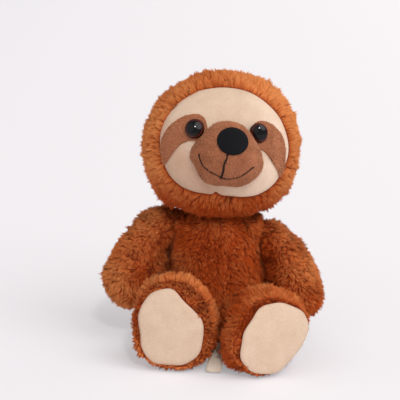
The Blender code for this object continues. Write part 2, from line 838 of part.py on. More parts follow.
def limb_rings(shape, inset, segments):
    """Rings of a limb along +Z from its pivot: a ball, a swell, then a round or open tip.

    Near the root it is drawn in towards the body, where the seam gathers it, and full elsewhere.
    """
    rows = []
    for z, full, drawn in limb_profile(shape, inset):
        share = min(max(z / shape["swell"], 0), 1)
        bend = 2 / (2 + (shape["squareness"] - 2) * share**2)
        rise = shape["rise"] * (3 * share**2 - 2 * share**3)
        middle = Matrix.Rotation(-shape["twist"], 2) @ Vector((0, rise))
        if full[0] == 0:
            rows.append([Vector((middle.x, middle.y, z))])
            continue
        row = []
        for i in range(segments):
            turn = 2 * pi * i / segments
            facing = Vector((cos(turn), sin(turn))).dot(shape["inward"])
            draw = min(max(shape["drawn_in"][0] + shape["drawn_in"][1] * facing, 0), 1)
            across = [a + (b - a) * draw for a, b in zip(full, drawn)]
            corner = (signed_power(cos(turn), bend), signed_power(sin(turn), bend))
            place = middle + Vector((across[0] * corner[0], across[1] * corner[1]))
            row.append(Vector((place.x, place.y, z)))
        rows.append(row)
    return rows


def inward_across(side, turned):
    """The direction towards the body, across a limb of this rotation."""
    local = turned.inverted() @ Vector((-side, 0, 0))
    return Vector((local.x, local.y)).normalized()


def shoulder_place(side):
    drop = LEFT_SHOULDER_DROP if side > 0 else RIGHT_SHOULDER_DROP
    spread = LEFT_SHOULDER_SPREAD if side > 0 else RIGHT_SHOULDER_SPREAD
    return Vector((side * spread, 0, BODY_SHOULDER_HEIGHT - drop))


def hip_place(side):
    forward = LEFT_HIP_FORWARD if side > 0 else RIGHT_HIP_FORWARD
    return Vector((side * HIP_SPREAD, -forward, HIP_HEIGHT))


def make_arm(label, side):
    """One arm on its shoulder pivot: the fur cover and the stuffing inside it."""
    forward = LEFT_ARM_FORWARD if side > 0 else RIGHT_ARM_FORWARD
    splay = LEFT_ARM_SPLAY if side > 0 else RIGHT_ARM_SPLAY
    along = Vector((side * sin(splay), -sin(forward), -cos(splay))).normalized()
    turned = along.to_track_quat("Z", "Y")
    centre = shoulder_place(side)
    shoulder = pivot(f"{label}_shoulder", centre, turned)
    shape = {
        "root": ARM_ROOT_RADIUS,
        "pinch": ARM_PINCH_ANGLE,
        "half_width": ARM_HALF_WIDTH,
        "half_depth": LEFT_ARM_HALF_DEPTH if side > 0 else RIGHT_ARM_HALF_DEPTH,
        "squareness": 2,
        "swell": ARM_SWELL,
        "length": LEFT_ARM_LENGTH if side > 0 else RIGHT_ARM_LENGTH,
        "tip_share": 0,
        "rise": 0,
        "twist": 0,
        "inward": inward_across(side, turned),
        "drawn_in": ARM_DRAWN_IN,
    }
    name = f"{label}_arm_fur_cover"
    cover_mesh = ringed_mesh(name, limb_rings(shape, 0, LIMB_SEGMENTS))
    cover = placed(name, cover_mesh, fur_material(), shoulder)
    inside_rings = limb_rings(shape, FUR_WALL, LIMB_FILL_SEGMENTS)
    inside_mesh = ringed_mesh(f"{label}_arm_inside", inside_rings)
    inside = placed(f"{label}_arm_inside", inside_mesh, None, shoulder)
    inward = Vector((-side, 0, 0))
    hole = drum(
        f"{label}_arm_fill_hole",
        ARM_FILL_HOLE_RADIUS,
        centre,
        centre + inward * (ARM_ROOT_RADIUS + FUR_WALL),
    )
    cut(cover, inside, hole)
    name = f"{label}_arm_stuffing"
    fill = ringed_mesh(name, limb_rings(shape, FUR_WALL + FILL_GAP, LIMB_FILL_SEGMENTS))
    placed(name, fill, stuffing_material(), shoulder)

    name = f"{label}_shoulder_thread"
    distance = ARM_ROOT_RADIUS + SEAM_GAP + DRAW_THREAD_RADIUS
    ring = thread_ring_mesh(name, distance, SHOULDER_THREAD_ANGLE, DRAW_THREAD_RADIUS, inward)
    thread = placed(name, ring, thread_material())
    thread.location = centre
    name = f"{label}_shoulder_groove"
    ring = thread_ring_mesh(name, distance, SHOULDER_THREAD_ANGLE, THREAD_GROOVE_RADIUS, inward)
    groove = placed(name, ring, None)
    groove.location = centre
    return groove


def sole_edge(angle, margin):
    """A point of the sole's rounded edge from its middle, grown by the margin."""
    wide, high = SOLE_HALF_WIDTH + margin, SOLE_HALF_HEIGHT + margin
    power = 2 / SOLE_SQUARENESS
    return Vector((wide * signed_power(cos(angle), power), high * signed_power(sin(angle), power)))


def sole_prism(name, rise, twist, length):
    """The room that the sole's edge takes in the front of the foot, open to the front."""
    middle = Matrix.Rotation(-twist, 2) @ Vector((0, rise))
    rings = []
    for z in (length - SOLE_THICKNESS - FILL_GAP - SEAM_GAP, length + CUT_OVERRUN):
        row = []
        for i in range(LIMB_SEGMENTS):
            place = middle + sole_edge(2 * pi * i / LIMB_SEGMENTS, SEAM_GAP)
            row.append(Vector((place.x, place.y, z)))
        rings.append(row)
    return ringed_mesh(name, rings)


def make_leg(label, side, floor):
    """One leg on its hip pivot: the fur cover, the stuffing and the beige sole that closes it."""
    turn = LEFT_LEG_TURN if side > 0 else RIGHT_LEG_TURN
    twist = LEFT_FOOT_TWIST if side > 0 else RIGHT_FOOT_TWIST
    rise = LEFT_FOOT_RISE if side > 0 else RIGHT_FOOT_RISE
    length = LEFT_LEG_LENGTH if side > 0 else RIGHT_LEG_LENGTH
    along = Vector((sin(turn), -cos(turn), 0))
    turned = along.to_track_quat("Z", "Y") @ Matrix.Rotation(twist, 3, "Z").to_quaternion()
    centre = hip_place(side)
    hip = pivot(f"{label}_hip", centre, turned)
    shape = {
        "root": LEG_ROOT_RADIUS,
        "pinch": LEG_PINCH_ANGLE,
        "half_width": FOOT_HALF_WIDTH,
        "half_depth": FOOT_HALF_HEIGHT,
        "squareness": FOOT_SQUARENESS,
        "swell": LEG_SWELL,
        "length": length,
        "tip_share": FOOT_RIM_SHARE,
        "rise": rise,
        "twist": twist,
        "inward": inward_across(side, turned),
        "drawn_in": LEG_DRAWN_IN,
    }
    name = f"{label}_leg_fur_cover"
    cover_mesh = ringed_mesh(name, limb_rings(shape, 0, LIMB_SEGMENTS))
    cover = placed(name, cover_mesh, fur_material(), hip)
    inside_rings = limb_rings(shape, FUR_WALL, LIMB_FILL_SEGMENTS)
    inside_mesh = ringed_mesh(f"{label}_leg_inside", inside_rings)
    inside = placed(f"{label}_leg_inside", inside_mesh, None, hip)
    name = f"{label}_sole_opening"
    opening = placed(name, sole_prism(name, rise, twist, length), None, hip)
    cut(cover, inside, opening, floor)

    name = f"{label}_leg_stuffing"
    fill = ringed_mesh(name, limb_rings(shape, FUR_WALL + FILL_GAP, LIMB_FILL_SEGMENTS))
    placed(name, fill, stuffing_material(), hip)
    sole_back = length - SOLE_THICKNESS
    middle = Matrix.Rotation(-twist, 2) @ Vector((0, rise))
    rings = []

    def sole_row(share, height):
        row = []
        for i in range(LIMB_SEGMENTS) if share else range(1):
            place = middle + sole_edge(2 * pi * i / LIMB_SEGMENTS, 0) * share
            row.append(Vector((place.x, place.y, height)))
        return row

    rings.append(sole_row(0, length + SOLE_DOME))
    for share in SOLE_SHARES:
        rings.append(sole_row(share, length + SOLE_DOME * (1 - share**2)))
    rings.append(sole_row(1, sole_back))
    rings.append(sole_row(0, sole_back))
    name = f"{label}_sole_pad"
    placed(name, ringed_mesh(name, rings), velboa_material(), hip)


def build():
    for existing in list(bpy.data.objects):
        bpy.data.objects.remove(existing, do_unlink=True)

    shape = bmesh.new()
    bmesh.ops.create_cube(shape, size=FLOOR_TOOL_SIZE)
    mesh = bpy.data.meshes.new("below_floor")
    shape.to_mesh(mesh)
    shape.free()
    floor = as_tool(placed("below_floor", mesh, None))
    floor.location = (0, 0, -FLOOR_TOOL_SIZE / 2)

    neck_point = Vector((0, 0, NECK_PIVOT_HEIGHT))
    neck = pivot("neck", neck_point)
    neck_hollow = ball("neck_hollow", NECK_RADIUS + BALL_GAP, neck_point)
    up = Vector((0, 0, 1))
    distance = NECK_RADIUS - DRAW_THREAD_RADIUS - SEAM_GAP
    ring = thread_ring_mesh("neck_thread", distance, NECK_THREAD_ANGLE, DRAW_THREAD_RADIUS, up)
    thread = placed("neck_thread", ring, thread_material())
    thread.location = neck_point
    ring = thread_ring_mesh("neck_groove", distance, NECK_THREAD_ANGLE, THREAD_GROOVE_RADIUS, up)
    neck_groove = placed("neck_groove", ring, None)
    neck_groove.location = neck_point

    hollows, grooves = [], []
    for label, side in (("left", 1), ("right", -1)):
        for place, name, radius in (
            (shoulder_place(side), "shoulder", ARM_ROOT_RADIUS),
            (hip_place(side), "hip", LEG_ROOT_RADIUS),
        ):
            hollows.append(ball(f"{label}_{name}_hollow", radius + BALL_GAP, place))
        grooves.append(make_arm(label, side))
        make_leg(label, side, floor)
    make_body(hollows, neck_groove, grooves, floor)
    make_label()
    make_head(neck, neck_hollow)
    bpy.context.view_layer.update()


build()
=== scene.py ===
"""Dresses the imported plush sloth: fur in tufts, sewn face and soles, eyes, nose, tag and studio.

Lengths are in millimetres until mesh_object() writes them in metres. The toy faces -Y and its
own left is +X. Sizes and places repeat those of the CAD source.
"""

from math import atan2, cos, pi, radians, sin, sqrt
from types import SimpleNamespace

import bpy
import numpy as np
from mathutils import Euler, Matrix, Vector
from mathutils.bvhtree import BVHTree
from mathutils.kdtree import KDTree


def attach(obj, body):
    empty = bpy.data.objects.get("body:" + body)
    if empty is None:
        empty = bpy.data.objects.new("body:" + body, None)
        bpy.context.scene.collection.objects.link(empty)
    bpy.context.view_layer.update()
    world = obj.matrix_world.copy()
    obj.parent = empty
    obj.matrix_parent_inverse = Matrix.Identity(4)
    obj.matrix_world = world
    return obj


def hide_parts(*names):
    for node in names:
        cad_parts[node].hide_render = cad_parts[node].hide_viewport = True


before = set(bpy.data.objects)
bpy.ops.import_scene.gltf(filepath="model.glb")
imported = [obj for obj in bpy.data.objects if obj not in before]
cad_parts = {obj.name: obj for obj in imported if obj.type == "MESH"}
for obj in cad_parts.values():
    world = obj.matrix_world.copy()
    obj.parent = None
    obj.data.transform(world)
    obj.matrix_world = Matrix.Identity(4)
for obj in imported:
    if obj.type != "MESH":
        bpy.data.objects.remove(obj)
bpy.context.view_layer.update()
METRES = 0.001
UV_MAP = "OFBake"

# Head, neck and face, as in the CAD source
HEAD_HALF = np.array((61.0, 51.0, 56.7))
HEAD_ROUNDNESS = 2.15
NECK_PIVOT = Vector((0, 0, 95))
HEAD_CENTRE = np.array(NECK_PIVOT + Vector((3, -8, 71.7)))
HEAD_TURNED = np.array(Euler((radians(-14), radians(7), radians(5.5)), "YXZ").to_matrix())
NECK_RADIUS = 30
NECK_DOME_START = radians(68)
FACE_INSET = 2.2
FACE_HALF = (51.3, 43.5)
PATCH_REACH, PATCH_TOP = 50.5, 19
PATCH_MIDDLE = (32.3, 3.4)
MUZZLE_HALF = (28.3, 24.5)
MUZZLE_DROP = 9
MUZZLE_HEIGHT = 20
MUZZLE_FULLNESS = 2.6
MUZZLE_PEAK = np.array((0.0, -5.0))
NOSE_HALF = (12, 10.5)
NOSE_CENTRE = (1.5, 0.3)
NOSE_THICKNESS, NOSE_RIM = 4.2, 1.05
EYE_RADIUS, EYE_DOME, EYE_RIM = 7.5, 4.6, 1.2
EYE_SPREAD, EYE_SIDE = 24, -1.6
EYE_RISE, EYE_SLANT = 8.35, 0.85
EYE_STEM_RADIUS, EYE_STEM_LENGTH = 2.0, 12
SEAM_GAP, PATCH_WALL, BALL_GAP = 0.3, 1.0, 0.8
MUZZLE_BASE = FACE_INSET - SEAM_GAP

# Body, arms and legs, as in the CAD source
BODY_TOP = 105
BODY_HALF = (37, 36)
BODY_SQUARENESS = 2.5
ARM = dict(
    root=19, swell=36, pinch=radians(60), squareness=2, drawn_in=(0, 1.5),
    tip=0, rise=0, twist=0, slide=(0, 0, 0), slim=0,
)
ARM_HALVES = {"left": (25.5, 22), "right": (25.5, 24.5)}
ARM_LENGTHS = {"left": 66, "right": 71}
ARM_SPLAYS = {"left": radians(26), "right": radians(24)}
ARM_FORWARDS = {"left": radians(3), "right": radians(-3)}
SHOULDERS = {"left": np.array((47, 0, 83.5)), "right": np.array((-49, 0, 93.5))}
LEG = dict(
    root=22, half=(30.2, 36.6), swell=33, pinch=radians(50), squareness=2.3,
    drawn_in=(1, 1), tip=0.93, rim_back=1.2,
)
LEG_LENGTHS = {"left": 55, "right": 44}
LEG_TURNS = {"left": radians(16), "right": radians(-10)}
FOOT_TWISTS = {"left": radians(-36), "right": radians(8)}
FOOT_RISES = {"left": 9, "right": 12}
HIPS = {"left": np.array((27.0, -35, 25)), "right": np.array((-27.0, -32, 25))}
SOLE_HALF = np.array((25.3, 31.2))
SOLE_SQUARENESS = 2.2
SOLE_THICKNESS, SOLE_DOME, SOLE_SIDE_DROP = 2.4, 2.6, 1.3
SIDES = {"left": 1, "right": -1}

FACE_SHARES = (
    (0, 1), (0.29, 0.955), (0.56, 0.80), (0.80, 0.55), (0.955, 0.21), (1, -0.10),
    (0.92, -0.44), (0.79, -0.70), (0.57, -0.885), (0.30, -0.95), (0.10, -0.915), (0, -0.855),
)
PATCH_SHARES = (
    (0.35, 0.72), (0.485, 1.0), (0.71, 0.83), (0.90, 0.34), (0.972, -0.35), (0.905, -1.12),
    (0.82, -0.86), (0.69, -0.48), (0.563, -0.20), (0.35, 0.05),
)
MUZZLE_SHARES = (
    (0, 1), (0.35, 0.90), (0.61, 0.62), (0.87, 0.22), (1, -0.22), (0.90, -0.58),
    (0.62, -0.87), (0.24, -0.985), (0, -0.97),
)
BODY_SHARES = (
    (0, 0.66, 0.60), (0.035, 0.80, 0.76), (0.11, 0.94, 0.92), (0.24, 1, 1), (0.41, 1, 1.01),
    (0.58, 0.99, 0.985), (0.74, 0.975, 0.94), (0.88, 0.965, 0.88), (0.96, 0.945, 0.82),
    (1, 0.875, 0.78),
)

# Each foot's skin slides up and in, which thins its fur on one side of the sole. The right one is
# fuller, which is a slim below 0, and its sole lies farther out
FOOT_SLIDES = {"left": (-2.2, 0, 2.0), "right": (0.7, 0, 2.4)}
FOOT_SLIMS = {"left": -0.3, "right": -2.6}
SOLE_SHIFTS = {"left": (0, 0, 0), "right": (-1.5, 0, 0)}
# Where cloth is pushed out or in to follow the photo: (centre, radius, push)
PUFFS = {
    ("left", "arm"): (
        ((36, 0, 104), 13, (-3, 0, 7)), ((62, 0, 98), 19, (-4.5, 0, -3)),
        ((82, -10, 36), 16, (1, 0, -3)),
    ),
    ("right", "arm"): (
        ((-38, 0, 108), 17, (4, 0, 5.5)), ((-74, -5, 80), 28, (-2.2, 0, 0.5)),
        ((-88, -6, 56), 24, (-3.5, 0, 0)),
    ),
    ("left", "leg"): (
        ((54, -75, 70), 34, (0, 0, -5.5)), ((14, -70, 38), 22, (2.5, 0, -1)),
        ((10, -78, 6), 20, (-4.5, 0, -2)), ((62, -80, 8), 18, (-1.5, 0, 0.5)),
    ),
    ("right", "leg"): (((-66, -76, 2), 32, (-8.5, 0, -2)),),
}
# The pile is deeper outside the right sole, and covers the upper edge of each sole
SKIN_PUFFS = {"left": (), "right": (((-72, -72, 26), 34, (-4.5, 0, 0)),)}
SOLE_PUFFS = {
    "left": (
        ((24, -76, 40), 26, (7, 0, -4)), ((16, -79, 28), 26, (6, 0, 0)),
        ((26, -78, 48), 20, (4.5, 0, -2)),
    ),
    "right": (((-19, -76, 61), 22, (-3.5, 0, -4.5)),),
}
BODY_PUFFS = (
    ((-32, 0, 104), 16, (-4, 0, 6)), ((34, 0, 100), 17, (4, 0, 6.5)),
    ((-36, 0, 72), 30, (-2.5, 0, 0)), ((37, 0, 55), 24, (2.5, 0, 0)),
)
FACE_PUFFS = (((0, -37), 15, (-4, -2.6)),)
PATCH_PUFFS = {
    "left": (((48.5, -2), 20, (-1.8, 0)),),
    "right": (((-33, -8), 20, (-2.0, 2.3)),),
}
MUZZLE_PUFFS = (((-26, -24), 18, (4.0, 1.2)),)
HEAD_PUFFS = (
    ((-47, 0, 124), 32, (-4, 0, -3)), ((54, 0, 124), 30, (4, 0, -3)),
    ((33, -6, 222), 22, (1.0, 0, 0.8)), ((38, -6, 114), 15, (1.0, 0, -3.5)),
    ((-40, -8, 117), 15, (-1.0, 0, -3.2)),
)
# The head swells off the face, and is flatter and has shorter pile over its upper right side
HEAD_SWELL = 1.4
HEAD_DENT = 2.2
HEAD_DENT_WAY = np.array((-0.72, 0.0, 0.69))
HEAD_DENT_START = 0.7
HEAD_TRIM = 0.1
# The swell is full this far off the face's edge, and the back of the head counts as far off it
SWELL_REACH, BEHIND = 5, 99.0

# The backing cloth lies this far under the outside of the fur, and nothing lies under the floor
BACKING_INSET = 2.6
FLOOR_CLEARANCE = 0.25
# Fills stay this far under the backing, behind the sole and above the backing's floor
FILL_INSET, FILL_GAP, FILL_LIFT = 1.2, 0.6, 1
# The foot's backing goes in by this share behind the sole, this far behind it
RIM_CLOSING, RIM_GAP = 0.965, 0.4

# Rings along the forms, and the steps that trace a point back from where a puff pushed it
DOME_STEPS, BODY_RINGS = 8, 72
ROOT_STEPS, SWELL_STEPS, TIP_STEPS = 10, 16, 14
UNPUFF_STEPS = 16

# Pile: how lengths and tones vary, and how locks stand and take the light
LENGTH_WAVES, LENGTH_WAVE_SIZE, LENGTH_SPREAD, LEAST_LENGTH = 0.12, 22, 0.13, 0.35
TONE_WAVES, TONE_WAVE_SIZE, TONE_SPREAD, LOCK_TONE = 0.07, 30, 0.08, 0.012
LEAST_RISE, LOCK_TURN = 0.25, 0.6
SHADE_SLOPE, SHADE_SPREAD = 0.4, 0.1
# Beside another piece: how far locks lean, how much of the gap they fill, and their most
GAP_LEAN, GAP_FILL, MOST_OF_GAP, LOOK_AHEAD = 0.35, 0.62, 0.8, 1.25
# How strongly the pile is combed at the edge of the face and of the soles, and how far in front
# of them it is combed away from
FLAT_COMB, COMB_AHEAD = 0.45, 10
# Where pile begins: by shares of the face's and the soles' edges, above the neck's pivot, round
# the sockets, and over the floor
FACE_EDGE, SOLE_EDGE = 0.978, 0.95
NECK_PILE_RISE, SOCKET_MARGIN, FLOOR_MARGIN = 18, 0.6, 0.6


def power_of(value, power):
    return np.sign(value) * np.abs(value) ** power


def lengths(vectors):
    return np.linalg.norm(vectors, axis=-1)


def unit(vectors):
    length = np.linalg.norm(vectors, axis=-1, keepdims=True)
    return vectors / np.maximum(length, 1e-9)


def eased(share):
    """A share from 0 to 1 that leaves 0 and reaches 1 gently."""
    return share**2 * (3 - 2 * share)


def circle(count):
    """Places (x, y) round a circle of radius 1."""
    turn = 2 * pi * np.arange(count) / count
    return np.stack([np.cos(turn), np.sin(turn)], axis=-1)


def to_world(points, centre, turned):
    """Points of a local frame as points of the toy."""
    return points @ turned.T + centre


def to_local(points, centre, turned):
    """Points of the toy as points of a local frame."""
    return (points - centre) @ turned


# Meshes


def grid_faces(grid):
    """(points, quads and triangles) of rings of points, where a ring of one place is a pole."""
    rows, columns = grid.shape[:2]
    index = np.zeros((rows, columns), int)
    points = []
    for r in range(rows):
        if np.ptp(grid[r], axis=0).max() < 1e-6:
            index[r] = len(points)
            points.append(grid[r, 0])
        else:
            index[r] = len(points) + np.arange(columns)
            points.extend(grid[r])
    faces = []
    for r in range(rows - 1):
        for c in range(columns):
            d = (c + 1) % columns
            corners = [index[r, c], index[r, d], index[r + 1, d], index[r + 1, c]]
            face = [int(k) for i, k in enumerate(corners) if k != corners[i - 1]]
            if len(face) > 2:
                faces.append(face)
    return np.array(points), faces


def triangles_of(faces):
    made = []
    for face in faces:
        for i in range(1, len(face) - 1):
            made.append((face[0], face[i], face[i + 1]))
    return np.array(made)


def point_normals(points, triangles):
    a, b, c = (points[triangles[:, k]] for k in range(3))
    area = np.cross(b - a, c - a)
    normals = np.zeros_like(points)
    for k in range(3):
        np.add.at(normals, triangles[:, k], area)
    return unit(normals)


def mesh_object(name, points, faces, finish, uv=None, loose=None, normals=None):
    """A new mesh object; uv gives each point's place in the map, and loose adds triangles."""
    sizes = np.array([len(face) for face in faces], np.int32)
    corners = np.concatenate([np.asarray(face, np.int32) for face in faces])
    if loose is not None:
        sizes = np.concatenate([sizes, np.full(len(loose), 3, np.int32)])
        corners = np.concatenate([corners, loose.astype(np.int32).ravel()])
    mesh = bpy.data.meshes.new(name)
    mesh.vertices.add(len(points))
    mesh.vertices.foreach_set("co", (np.asarray(points) * METRES).astype(np.float32).ravel())
    mesh.loops.add(len(corners))
    mesh.loops.foreach_set("vertex_index", corners)
    mesh.polygons.add(len(sizes))
    mesh.polygons.foreach_set("loop_start", (np.cumsum(sizes) - sizes).astype(np.int32))
    if uv is not None:
        layer = mesh.uv_layers.new(name=UV_MAP)
        layer.uv.foreach_set("vector", np.asarray(uv, np.float32)[corners].ravel())
    mesh.update(calc_edges=True)
    mesh.validate()
    made = bpy.data.objects.new(name, mesh)
    bpy.context.scene.collection.objects.link(made)
    if finish:
        mesh.materials.append(finish)
    mesh.shade_smooth()
    if normals is not None:
        mesh.normals_split_custom_set_from_vertices(normals)
    return made


def cut_by(made, tools):
    """Cuts these helper objects out of the object and removes them."""
    for tool in tools:
        step = made.modifiers.new("cut", "BOOLEAN")
        step.operation = "DIFFERENCE"
        step.solver = "EXACT"
        step.object = tool
    bpy.context.view_layer.update()
    graph = bpy.context.evaluated_depsgraph_get()
    mesh = bpy.data.meshes.new_from_object(made.evaluated_get(graph), depsgraph=graph)
    made.modifiers.clear()
    made.data = mesh
    for tool in tools:
        bpy.data.objects.remove(tool, do_unlink=True)


def read_mesh(made):
    """(points in mm, faces) of an object at the origin."""
    mesh = made.data
    points = np.zeros(len(mesh.vertices) * 3, np.float32)
    mesh.vertices.foreach_get("co", points)
    return points.reshape(-1, 3).astype(float) / METRES, [list(p.vertices) for p in mesh.polygons]


def pole_of(ring):
    """A ring of one place, which closes a form behind this ring."""
    return np.broadcast_to(ring.mean(axis=0), ring.shape)[None]


# Forms


def round_grid(half, roundness, segments, rings):
    """A rounded box between an ellipsoid and a box, from its lower pole to its upper one."""
    power = 2 / roundness
    rise = np.linspace(-pi / 2, pi / 2, rings + 1)[:, None]
    x, y = power_of(circle(segments), power).T
    across = power_of(np.maximum(np.cos(rise), 0), power)
    across[0] = across[-1] = 0
    height = half[2] * power_of(np.sin(rise), power) * np.ones_like(x)
    return np.stack([half[0] * across * x, half[1] * across * y, height], axis=-1)


def stacked_rings(edge, rows, middle=0):
    """Rings of the edge's places (x, y), one for each (share of the edge, height)."""
    return np.array(
        [np.column_stack([middle + edge * share, np.full(len(edge), z)]) for share, z in rows]
    )


def ball_object(centre, radius):
    grid = round_grid((radius,) * 3, 2, 48, 24) + np.array(centre)
    points, faces = grid_faces(grid)
    return mesh_object("ball", points, faces, None)


def face_depth(places, inset):
    """Y of the front of the head at places (x, z), this far under its outside."""
    half = HEAD_HALF - inset
    x, z = np.abs(places[..., 0] / half[0]), np.abs(places[..., 1] / half[2])
    left = 1 - x**HEAD_ROUNDNESS - z**HEAD_ROUNDNESS
    return -half[1] * np.maximum(left, 0) ** (1 / HEAD_ROUNDNESS)


def at_depth(places, depth):
    """Places (x, z) on the face as points with this y."""
    return np.stack([places[..., 0], depth, places[..., 1]], axis=-1)


def curve_point(before, start, end, after, t):
    """A place between two corners of a smooth curve, where t goes from 0 to 1."""
    return 0.5 * (
        2 * start
        + (end - before) * t
        + (2 * before - 5 * start + 4 * end - after) * t**2
        + (3 * start - before - 3 * end + after) * t**3
    )


def smooth_loop(corners, count):
    """A closed smooth curve of this many points through the corners."""
    corners = np.asarray(corners, float)
    total = len(corners)
    place = np.arange(count) * total / count
    k = place.astype(int)
    near = (corners[(k + step) % total] for step in (-1, 0, 1, 2))
    return curve_point(*near, (place - k)[:, None])


def open_curve(corners, count):
    """Points spread along a smooth open line through the corners."""
    corners = np.asarray(corners, float)
    ends = 2 * corners[[0, -1]] - corners[[1, -2]]
    whole = np.concatenate([ends[:1], corners, ends[1:]])
    place = np.linspace(0, len(corners) - 1, count)
    k = np.minimum(place.astype(int), len(corners) - 2)
    return curve_point(*(whole[k + step] for step in range(4)), (place - k)[:, None])


def mirrored_outline(shares, half, count):
    right = [(x * half[0], z * half[1]) for x, z in shares]
    left = [(-x, z) for x, z in reversed(right) if x > 0]
    return smooth_loop(right + left, count)


def inside_outline(outline, places):
    """True where a place is inside a closed outline."""
    x, z = places[..., 0], places[..., 1]
    found = np.zeros(x.shape, bool)
    for (x0, z0), (x1, z1) in zip(outline, np.roll(outline, -1, axis=0)):
        crosses = (z0 > z) != (z1 > z)
        with np.errstate(divide="ignore", invalid="ignore"):
            at = x0 + (z - z0) * (x1 - x0) / (z1 - z0)
        found ^= crosses & (x < at)
    return found


def outline_distance(outline, places):
    """How far each place is from a closed outline."""
    near = np.full(places.shape[:-1], np.inf)
    for start, end in zip(outline, np.roll(outline, -1, axis=0)):
        along = end - start
        off = places - start
        share = np.clip(off @ along / (along @ along), 0, 1)[..., None]
        near = np.minimum(near, lengths(off - share * along))
    return near


def puffed(grid, puffs):
    """The grid pushed out or in round these places: (centre, radius, push)."""
    for centre, radius, push in puffs:
        share = np.clip(1 - lengths(grid - np.array(centre)) / radius, 0, 1)
        grid = grid + eased(share)[..., None] * np.array(push)
    return grid


FACE_OUTLINE = puffed(mirrored_outline(FACE_SHARES, FACE_HALF, 120), FACE_PUFFS)
MUZZLE_OUTLINE = mirrored_outline(MUZZLE_SHARES, MUZZLE_HALF, 96) - (0, MUZZLE_DROP)
MUZZLE_OUTLINE = puffed(MUZZLE_OUTLINE, MUZZLE_PUFFS)


def muzzle_lift(reach):
    return MUZZLE_HEIGHT * np.maximum(1 - reach**MUZZLE_FULLNESS, 0) ** (1 / MUZZLE_FULLNESS)


def muzzle_reach(places):
    """0 at the muzzle's peak, 1 on its edge, for places in front of the face."""
    off = places - MUZZLE_PEAK
    outline = MUZZLE_OUTLINE - MUZZLE_PEAK
    turn = np.arctan2(outline[:, 1], outline[:, 0])
    order = np.argsort(turn)
    far = lengths(outline)[order]
    edge = np.interp(np.arctan2(off[..., 1], off[..., 0]), turn[order], far, period=2 * pi)
    return lengths(off) / edge


def muzzle_depth(places):
    """Y of the muzzle's outside over places (x, z) in the head's frame."""
    return face_depth(places, MUZZLE_BASE) - muzzle_lift(np.minimum(muzzle_reach(places), 1))


def head_world(points):
    return to_world(points, HEAD_CENTRE, HEAD_TURNED)


def head_local(points):
    return to_local(points, HEAD_CENTRE, HEAD_TURNED)


def off_face(local):
    """How far places in the head's frame are outside the edge of the face, seen from the front."""
    places = local[..., ::2]
    far = np.where(inside_outline(FACE_OUTLINE, places), 0, outline_distance(FACE_OUTLINE, places))
    return np.where(local[..., 1] < 0, far, BEHIND)


def head_flat(points):
    """How far a place is over the flatter upper right side of the head, from 0 to 1."""
    way = unit(points - HEAD_CENTRE) @ HEAD_DENT_WAY
    return eased(np.clip((way - HEAD_DENT_START) / (1 - HEAD_DENT_START), 0, 1))


def head_grid(inset):
    """The head's backing, a little fuller off the face, and flatter over its upper right side."""
    local = round_grid(HEAD_HALF - inset, HEAD_ROUNDNESS, 120, 72)
    swell = np.clip(off_face(local) / SWELL_REACH, 0, 1)
    points = head_world(local + unit(local) * (HEAD_SWELL * swell)[..., None])
    off = unit(points - HEAD_CENTRE)
    points = points - off * (HEAD_DENT * head_flat(points))[..., None]
    return points + (puffed(points, HEAD_PUFFS) - points) * swell[..., None]


def body_profile(inset):
    """(height, half width, half depth, bend) from the seat to the top of the neck."""
    power = 2 / BODY_SQUARENESS
    rows = []
    for height, wide, deep in BODY_SHARES:
        z = max(height * BODY_TOP - inset * height, inset)
        reach = (BODY_HALF[0] * wide - inset, BODY_HALF[1] * deep - inset)
        if not rows or z > rows[-1][0]:
            rows.append((z, *reach, power))
    dome = NECK_RADIUS - inset
    start = pi / 2 - NECK_DOME_START
    for step in range(DOME_STEPS + 1):
        rise = start + (pi / 2 - start) * step / DOME_STEPS
        reach = dome * cos(rise) if step < DOME_STEPS else 0
        rows.append((NECK_PIVOT.z + dome * sin(rise), reach, reach, 1))
    rows = np.array(rows)
    place = np.linspace(0, len(rows) - 1, BODY_RINGS)
    return np.stack([np.interp(place, np.arange(len(rows)), rows[:, k]) for k in range(4)], 1)


def smoothed(values, times):
    """Evens out a profile, keeping its ends."""
    for _ in range(times):
        values = np.concatenate(
            [values[:1], (values[:-2] + 2 * values[1:-1] + values[2:]) / 4, values[-1:]]
        )
    return values


def body_grid(inset):
    round_it = circle(112)
    rows = []
    for z, wide, deep, bend in smoothed(body_profile(inset), 6):
        across = power_of(round_it, bend) * (wide, deep)
        rows.append(np.column_stack([across, np.full(len(across), z)]))
    return np.array([rows[0] * (0, 0, 1), *rows])


def limb_profile(shape, inset):
    """Along a limb: place, half sizes, and the half sizes where it is drawn in."""
    root = shape.root - inset
    halves = [side - inset for side in shape.half]
    swell, length, tip = shape.swell, shape.length, shape.tip
    start = shape.root * cos(shape.pinch)
    waist = sqrt(root**2 - start**2)

    def full(z):
        share = max(z / swell, 0)
        return [root + (side - root) * sin(pi / 2 * share) for side in halves]

    rows = [(-root, (0, 0), (0, 0))]
    for step in range(1, ROOT_STEPS + 1):
        angle = pi - pi / 2 * step / ROOT_STEPS
        rows.append((root * cos(angle), (root * sin(angle),) * 2, (root * sin(angle),) * 2))
    rows.append((start, full(start), (waist, waist)))
    for step in range(1, SWELL_STEPS + 1):
        z = start + (swell - start) * step / SWELL_STEPS
        lift = sin(pi / 2 * step / SWELL_STEPS)
        rows.append((z, full(z), [waist + (side - waist) * lift for side in halves]))
    sweep = pi / 2 if tip == 0 else atan2(sqrt(1 - tip**2), tip)
    end = length - inset if tip == 0 else length - shape.rim_back
    for step in range(1, TIP_STEPS + 1):
        angle = sweep * step / TIP_STEPS
        across = cos(angle) if step < TIP_STEPS or tip else 0
        half = [side * across for side in halves]
        rows.append((swell + (end - swell) * sin(angle) / sin(sweep), half, half))
    return rows


def limb_middle(shape, rise):
    return np.array(Matrix.Rotation(-shape.twist, 2) @ Vector((0, rise)))


